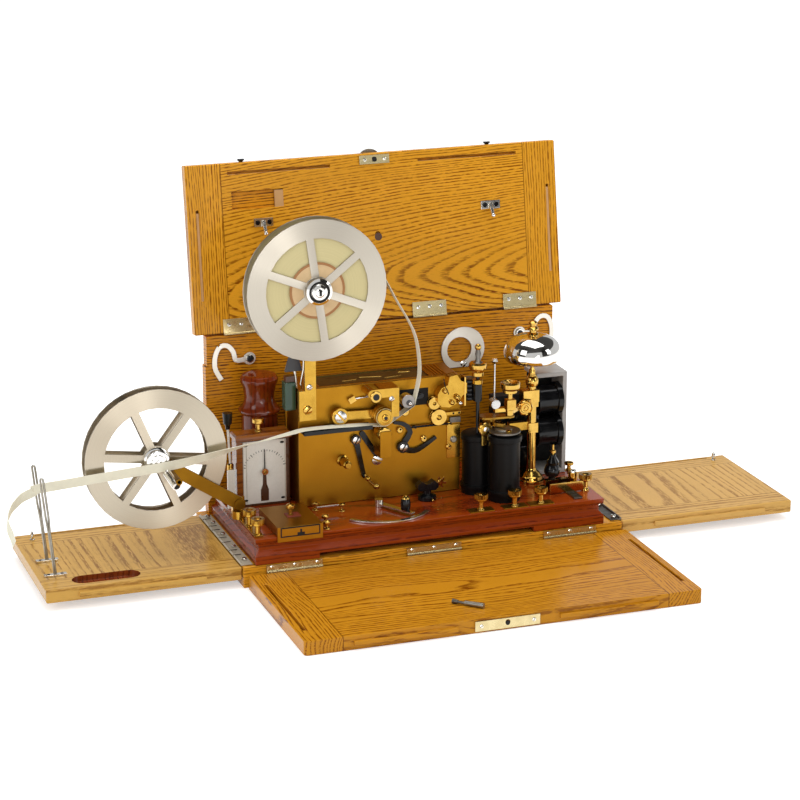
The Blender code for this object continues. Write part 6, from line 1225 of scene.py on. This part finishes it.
def dress_writer():
    """Plates, knobs, wire and dark opening at the right of the writer, the start lever's ends, the bottle."""
    front = face_of("movement_case", 10, 150).y * 1000
    # The first, dark slab paints the shade in the opening at the right of the writer.
    slabs = (((-17.0, 17.5), (143.0, 160.5), 0.5, "slot_dark"), ((34.0, 51.5), (130.4, 133.6), 5.0, "brass"),
             ((40.0, 51.5), (121.6, 127.2), 3.2, "dark_steel"),
             ((-19.0, -15.5), (140.0, 163.0), 1.6, "brass"))
    piece("writer_plates", "movement_case", *[(block(across, (front - thick, front + 0.3), up, 0.3), finish)
                                              for across, up, thick, finish in slabs])
    bits = []
    for x, z, radius, finish in ((44.0, 151.0, 3.0, "brass_bright"), (38.5, 146.0, 2.6, "brass_bright"),
                                 (46.5, 145.4, 2.2, "chrome"), (31.0, 158.5, 2.4, "brass_bright")):
        bits.append((ball(face_of("ink_well", x, z) - mm(0, radius * 0.7, 0), radius), finish))
    # Dark discs paint the shade in two holes of the brass shelf below.
    bits += [(disc(mm(x, front - 4.9, 132.0), 1.1, 0.3, 0.1), "slot_dark") for x in (43.0, 49.0)]
    curve = [mm(30.0 + 0.4 * k, front - 11.3, 171.0 - 1.4 * k - 2.2 * math.sin(k / 2.4)) for k in range(14)]
    bits.append((tube(curve, 0.5, 6), "slot_dark"))
    bits.append((block((52.0, 53.6), (front - 12, front - 1), (141.0, 171.0), 0.2), "brass_bright"))
    piece("ink_bracket_knobs", "ink_well", *bits)
    arm = plate(link((-8.5, 152.8), (7.5, 154.8), 4.0, 5.5), front - 7.5, front - 5.0)
    pin = bar(mm(6.5, front + 0.2, 154.7), mm(6.5, front - 8.5, 154.7), 1.9)
    piece("pulley_arm", "movement_case", (arm, "black"), (pin, "black"))
    low, high = box_mm("start_lever")
    piece("start_lever_knob", "start_lever",
          (ball(mm(high.x - 2.2, -12.8, low.z + 2.8), 3.4), "brass_bright"),
          (ball(mm(-49.7, -13.0, 74.5), 2.8), "brass"))
    wire_path = [mm(-112.5, 3.0, 170), mm(-114.5, 2.5, 176), mm(-111.5, 2.0, 190), mm(-110.8, 2.0, 205)]
    hood = plate([(-128.5, 187), (-110.5, 187), (-115.0, 203.5), (-123.5, 203.5)], 8.0, 12.0, "Y", 0.4)
    piece("ink_bottle_and_hood", "movement_case", (tube(wire_path, 0.8), "nickel"),
          (block((-130.0, -118.8), (4.0, 16.5), (148.0, 177.0), 2.0), "ink_green"),
          (block((-128.5, -118.8), (6.0, 14.5), (176.5, 183.0), 1.0), "umber"),
          (bar(mm(-116.5, 10, 170.2), mm(-118.5, 10, 190), 1.4), "nickel"), (hood, "slate"))


def dress_receiver():
    """Caps and nuts of the magnets and the adjuster that stands over the left one."""
    x, y = 63.9, -22.0
    rows_of_turnings = (
        ([(4.0, 179.0), (8.4, 180.2), (9.1, 181.8), (9.1, 185.6), (8.0, 187.0), (5.0, 187.0)],
         "brass_bright"),
        ([(5.0, 187.0), (3.0, 188.5), (2.2, 192.0), (3.0, 196.0), (2.0, 200.6)], "dark_steel"),
        ([(4.6, 164.6), (5.4, 165.4), (5.4, 169.0), (4.6, 169.8)], "brass"),
        ([(4.4, 147.0), (4.4, 165.0)], "japan"))
    turnings = [(turned(rows, mm(x, y, 0), UP, 32), finish) for rows, finish in rows_of_turnings]
    piece("adjuster_fittings", "coil_left", *turnings, (ball(mm(x, y, 203.0), 3.4), "brass_bright"))
    foot = top_of("coil_right", 84, -46)
    piece("coil_cap", "coil_right", (disc(foot, 16.2, 1.2, 0.5, UP), "dark_steel"),
          (disc(foot + mm(-1, 1, 1.0), 9.0, 1.6, 0.8, UP), "grey_steel"),
          (disc(foot + mm(1, -8.5, 1.1), 3.2, 1.6, 0.5, UP), "brass"))
    nut = mm(66.8, -38.0, 121.0)
    piece("adjusting_nut", "coil_right", (disc(nut + mm(0, 3, 0), 7.0, 3.6, 0.8), "brass_bright"),
          (disc(nut - mm(0, 0.8, 0), 5.2, 0.5, 0.2), "brass"),
          (block((63.5, 69.0), (-36.2, -34.2), (103.5, 116.5), 0.3), "brass_bright"))
    screws("adjusting_nut_screw", "steel", "coil_right", [(nut - mm(0, 1.2, 0), FRONT, 3.2, 60)])


def dress_galvanometer():
    """The dial's scale and corner marks, the needle's hub ring, and the toggle beside the case."""
    face = 16.0
    heart = Vector((-149, 84))
    scale_marks, degrees_apart, marks_to_a_long_one = 21, 7.5, 5
    marks = []
    for k in range(scale_marks):
        angle = math.radians(90 + (k - scale_marks // 2) * degrees_apart)
        long_mark = k % marks_to_a_long_one == 0
        inner, outer, half = (20.2, 23.4, 0.34) if long_mark else (21.0, 22.8, 0.22)
        along = Vector((math.cos(angle), math.sin(angle)))
        across = Vector((-along.y, along.x)) * half
        outline = [heart + along * reach + across * side
                   for reach, side in ((inner, -1), (outer, -1), (outer, 1), (inner, 1))]
        marks.append((plate(outline, face - 0.25, face + 0.1), "dial_ink"))
    for x, z in ((-168.5, 112.5), (-130.5, 112.8), (-168.5, 55.0), (-130.0, 54.5)):
        outline = [(x + 2.1 * math.cos(a), z + 1.1 * math.sin(a)) for a in around(14)]
        marks.append((plate(outline, face - 0.4, face + 0.1), "slot_dark"))
    for across in ((-171.3, -170.6), (-167.8, -167.4), (-127.8, -127.2)):
        marks.append((block(across, (face - 0.3, face + 0.1), (51.5, 116)), "ivory_line"))
    piece("dial_scale", "galvanometer_case", *marks)
    hub = mm(heart.x, box_mm("galvanometer_needle")[0].y, heart.y)
    piece("needle_hub", "galvanometer_needle", (disc(hub, 3.4, 0.7, 0.4), "copper"),
          (disc(hub - mm(0, 0.6, 0), 1.7, 0.5, 0.3), "brass_bright"))
    x, y, lean = -182.5, 22.0, -2.0
    post = turned([(2.2, 0), (2.2, 44.0), (1.6, 46.0)], mm(x, y, 48.4), UP, 16)
    knob = turned([(2.2, 0), (2.6, 4.0), (4.2, 6.0), (5.0, 17.0)], mm(x + lean, y, 130.0), UP, 20)
    piece("toggle_post", "galvanometer_case", (post, "grey_steel"),
          (block((-187.2, -179.6), (15.0, 18.5), (48.6, 88.5), 0.4), "ivory"),
          (disc(mm(x, y, 88.0), 3.3, 6.0, 1.0, UP), "brass_bright"),
          (bar(mm(x, y, 94.0), mm(x + lean, y, 131.0), 1.2), "ivory"), (knob, "black"))


def dress_sender():
    """The arrester's slot and pad, the plug's pin, and the key's rail, screw, knob and foot."""
    front = box_mm("arrester_box")[0].y
    pad = top_of("arrester_box", -133, -33).z * 1000
    heart = (DECK + pad) / 2
    # The dark blocks paint the shade in the arrester's slot and its small cuts; the brass block is the plate seen
    # in the slot.
    slots = (((-162.5, -122.2), 0.22, (-5.6, 4.6), "slot_dark"),
             ((-161.2, -123.5), 0.30, (-4.2, 3.2), "brass_plate"),
             ((-145.5, -138.0), 0.36, (-4.2, -1.6), "slot_dark"),
             ((-142.7, -140.8), 0.36, (-1.8, 1.6), "slot_dark"))
    shapes = [(block(across, (front - proud, front + 0.2), (heart + up[0], heart + up[1])), finish)
              for across, proud, up, finish in slots]
    shapes.append((block((-147.5, -133.5), (-56.0, -44.0), (pad - 0.2, pad + 1.0), 0.2), "red_pad"))
    piece("arrester_fittings", "arrester_box", *shapes)
    piece("plug_pin", "plug_switch", (ball(mm(12.5, -33.0, 50.6), 1.4), "brass_bright"))
    rail = block((132.5, 169.0), (-51.0, -48.4), (49.2, 59.5), 0.5)
    piece("key_front_rail", "key_base", (rail, "brass_bright"))
    screws("key_pillar_screw", "chrome", "key_base", [(top_of("key_base", 161.5, -40.0), UP, 4.0, 30)])
    knob = mm(139.4, -40.0, 0)
    grip = [(5.6, 76.0), (6.2, 79.5), (3.2, 85.0), (2.6, 87.5)]
    pin = [(1.2, 87.0), (1.2, 89.0), (3.0, 89.6), (3.0, 92.0), (1.2, 92.6), (1.2, 98.0)]
    piece("key_knob_top", "key_lever", (turned(grip, knob, UP, 24), "japan"),
          (turned(pin, knob, UP, 24), "brass_bright"))
    piece("key_contact_foot", "key_base", (block((137.2, 142.2), (-38.5, -33.5), (48.9, 51.2)), "black"))
    piece("stud_link", "instrument_base",
          (block((-108.5, -80.5), (-28.4, -26.4), (54.6, 56.2), 0.3), "steel"))


def dress_base():
    """Milled nuts on the binding posts and the small plates below them."""
    front_posts = (49.0, 85.1, 113.2)
    nuts = [(knurled(top_of("instrument_base", x, y) - mm(0, 0, 5.6), 6.8, 4.4, UP), "brown_brass")
            for x, y in (*((x, -72.0) for x in front_posts), (171.9, -48.8))]
    nuts += [(knurled(top_of("takeup_post", -182.0, y) - mm(0, 0, 5.2), 6.6, 4.2, UP), "brown_brass")
             for y in (-42.0, -70.0)]
    piece("binding_post_nuts", "instrument_base", *nuts)
    piece("binding_post_plates", "instrument_base",
          *[(block((x - 13, x + 13), (-77.5, -65.5), (48.3, 49.3), 0.2), "brass_plate") for x in front_posts])


# Studio

def flat_face(name, corners, material):
    """One four-sided face of the studio."""
    shape = bmesh.new()
    shape.faces.new([shape.verts.new(corner) for corner in corners])
    mesh = bpy.data.meshes.new(name)
    shape.to_mesh(mesh)
    shape.free()
    mesh.materials.append(material)
    holder = put_in_scene(name, mesh)
    return holder


def make_floor():
    """A pale floor that shows white to the camera and in reflections, and keeps the object's shadow."""
    material, tree, shader, _ = new_material("studio_floor_white", Base_Color=toned(FLOOR_COLOUR),
                                             Roughness=0.9, Specular_IOR_Level=0.0,
                                             Emission_Color=(1, 1, 1, 1))
    seen = tree.nodes.new("ShaderNodeLightPath").outputs
    watched = sum_up(tree, "MAXIMUM", seen["Is Camera Ray"],
                     sum_up(tree, "MAXIMUM", seen["Is Glossy Ray"], seen["Is Transmission Ray"]))
    feed(tree, shader, Emission_Strength=sum_up(tree, "MULTIPLY", watched, FLOOR_GLOW))
    corners = [(x * FLOOR_HALF, y * FLOOR_HALF, -FLOOR_DROP) for x, y in ((-1, -1), (1, -1), (1, 1), (-1, 1))]
    flat_face("studio_floor", corners, material)


def make_dark_card(name, corners):
    """A black card that only reflections see, so that polished metal has something dark to show."""
    card = flat_face(name, corners, new_material(name, Base_Color=toned(DARK_CARD_COLOUR))[0])
    for kind in ("camera", "diffuse", "shadow", "transmission", "volume_scatter"):
        setattr(card, "visible_" + kind, False)


def make_world():
    """Even, pale light from all sides."""
    world = bpy.data.worlds.new("studio_world")
    world.use_nodes = True
    back = world.node_tree.nodes["Background"]
    back.inputs["Color"].default_value = toned(WORLD_COLOUR)
    back.inputs["Strength"].default_value = WORLD_STRENGTH
    bpy.context.scene.world = world


def make_lamp(name, place, target, size, power):
    """A rectangular area lamp that points at a target."""
    lamp = bpy.data.lights.new(name, "AREA")
    lamp.shape = "RECTANGLE"
    lamp.size, lamp.size_y = size
    lamp.energy = power
    holder = put_in_scene(name, lamp)
    holder.location = place
    holder.rotation_euler = (Vector(target) - Vector(place)).to_track_quat("-Z", "Y").to_euler()
    return holder


def make_studio():
    make_floor()
    make_world()
    for lamp in SOFTBOXES:
        make_lamp(*lamp)
    for name, way in SPARKS:
        place = [SPARK_DISTANCE * part for part in way]
        make_lamp(name, place, SPARK_TARGET, SPARK_SIZE, SPARK_POWER).visible_diffuse = False
    for name, corners in DARK_CARDS:
        make_dark_card(name, corners)


def make_camera():
    """The camera that took the photograph, fitted to the case's own right angles."""
    lens = bpy.data.cameras.new("photo_camera")
    lens.sensor_width = SENSOR_WIDTH
    lens.lens = SENSOR_WIDTH * FOCAL_PIXELS / PHOTO_PIXELS
    lens.clip_start = 0.05
    lens.clip_end = 60.0
    holder = put_in_scene("photo_camera", lens)
    holder.location = CAMERA_PLACE
    turn = Matrix.Rotation(-CAMERA_TURN, 4, "Z") @ Matrix.Rotation(QUARTER - CAMERA_DIP, 4, "X")
    holder.rotation_euler = (turn @ Matrix.Rotation(CAMERA_ROLL, 4, "Z")).to_euler()
    bpy.context.scene.camera = holder


make_camera()
make_studio()
for dress in (dress_case, dress_lid, dress_wall, dress_flaps, dress_instruments, dress_reels, dress_movement,
              dress_glass_top, dress_bell, dress_contact, dress_writer, dress_receiver, dress_galvanometer,
              dress_sender, dress_base):
    dress()

bpy.context.scene.view_settings.view_transform = "Standard"
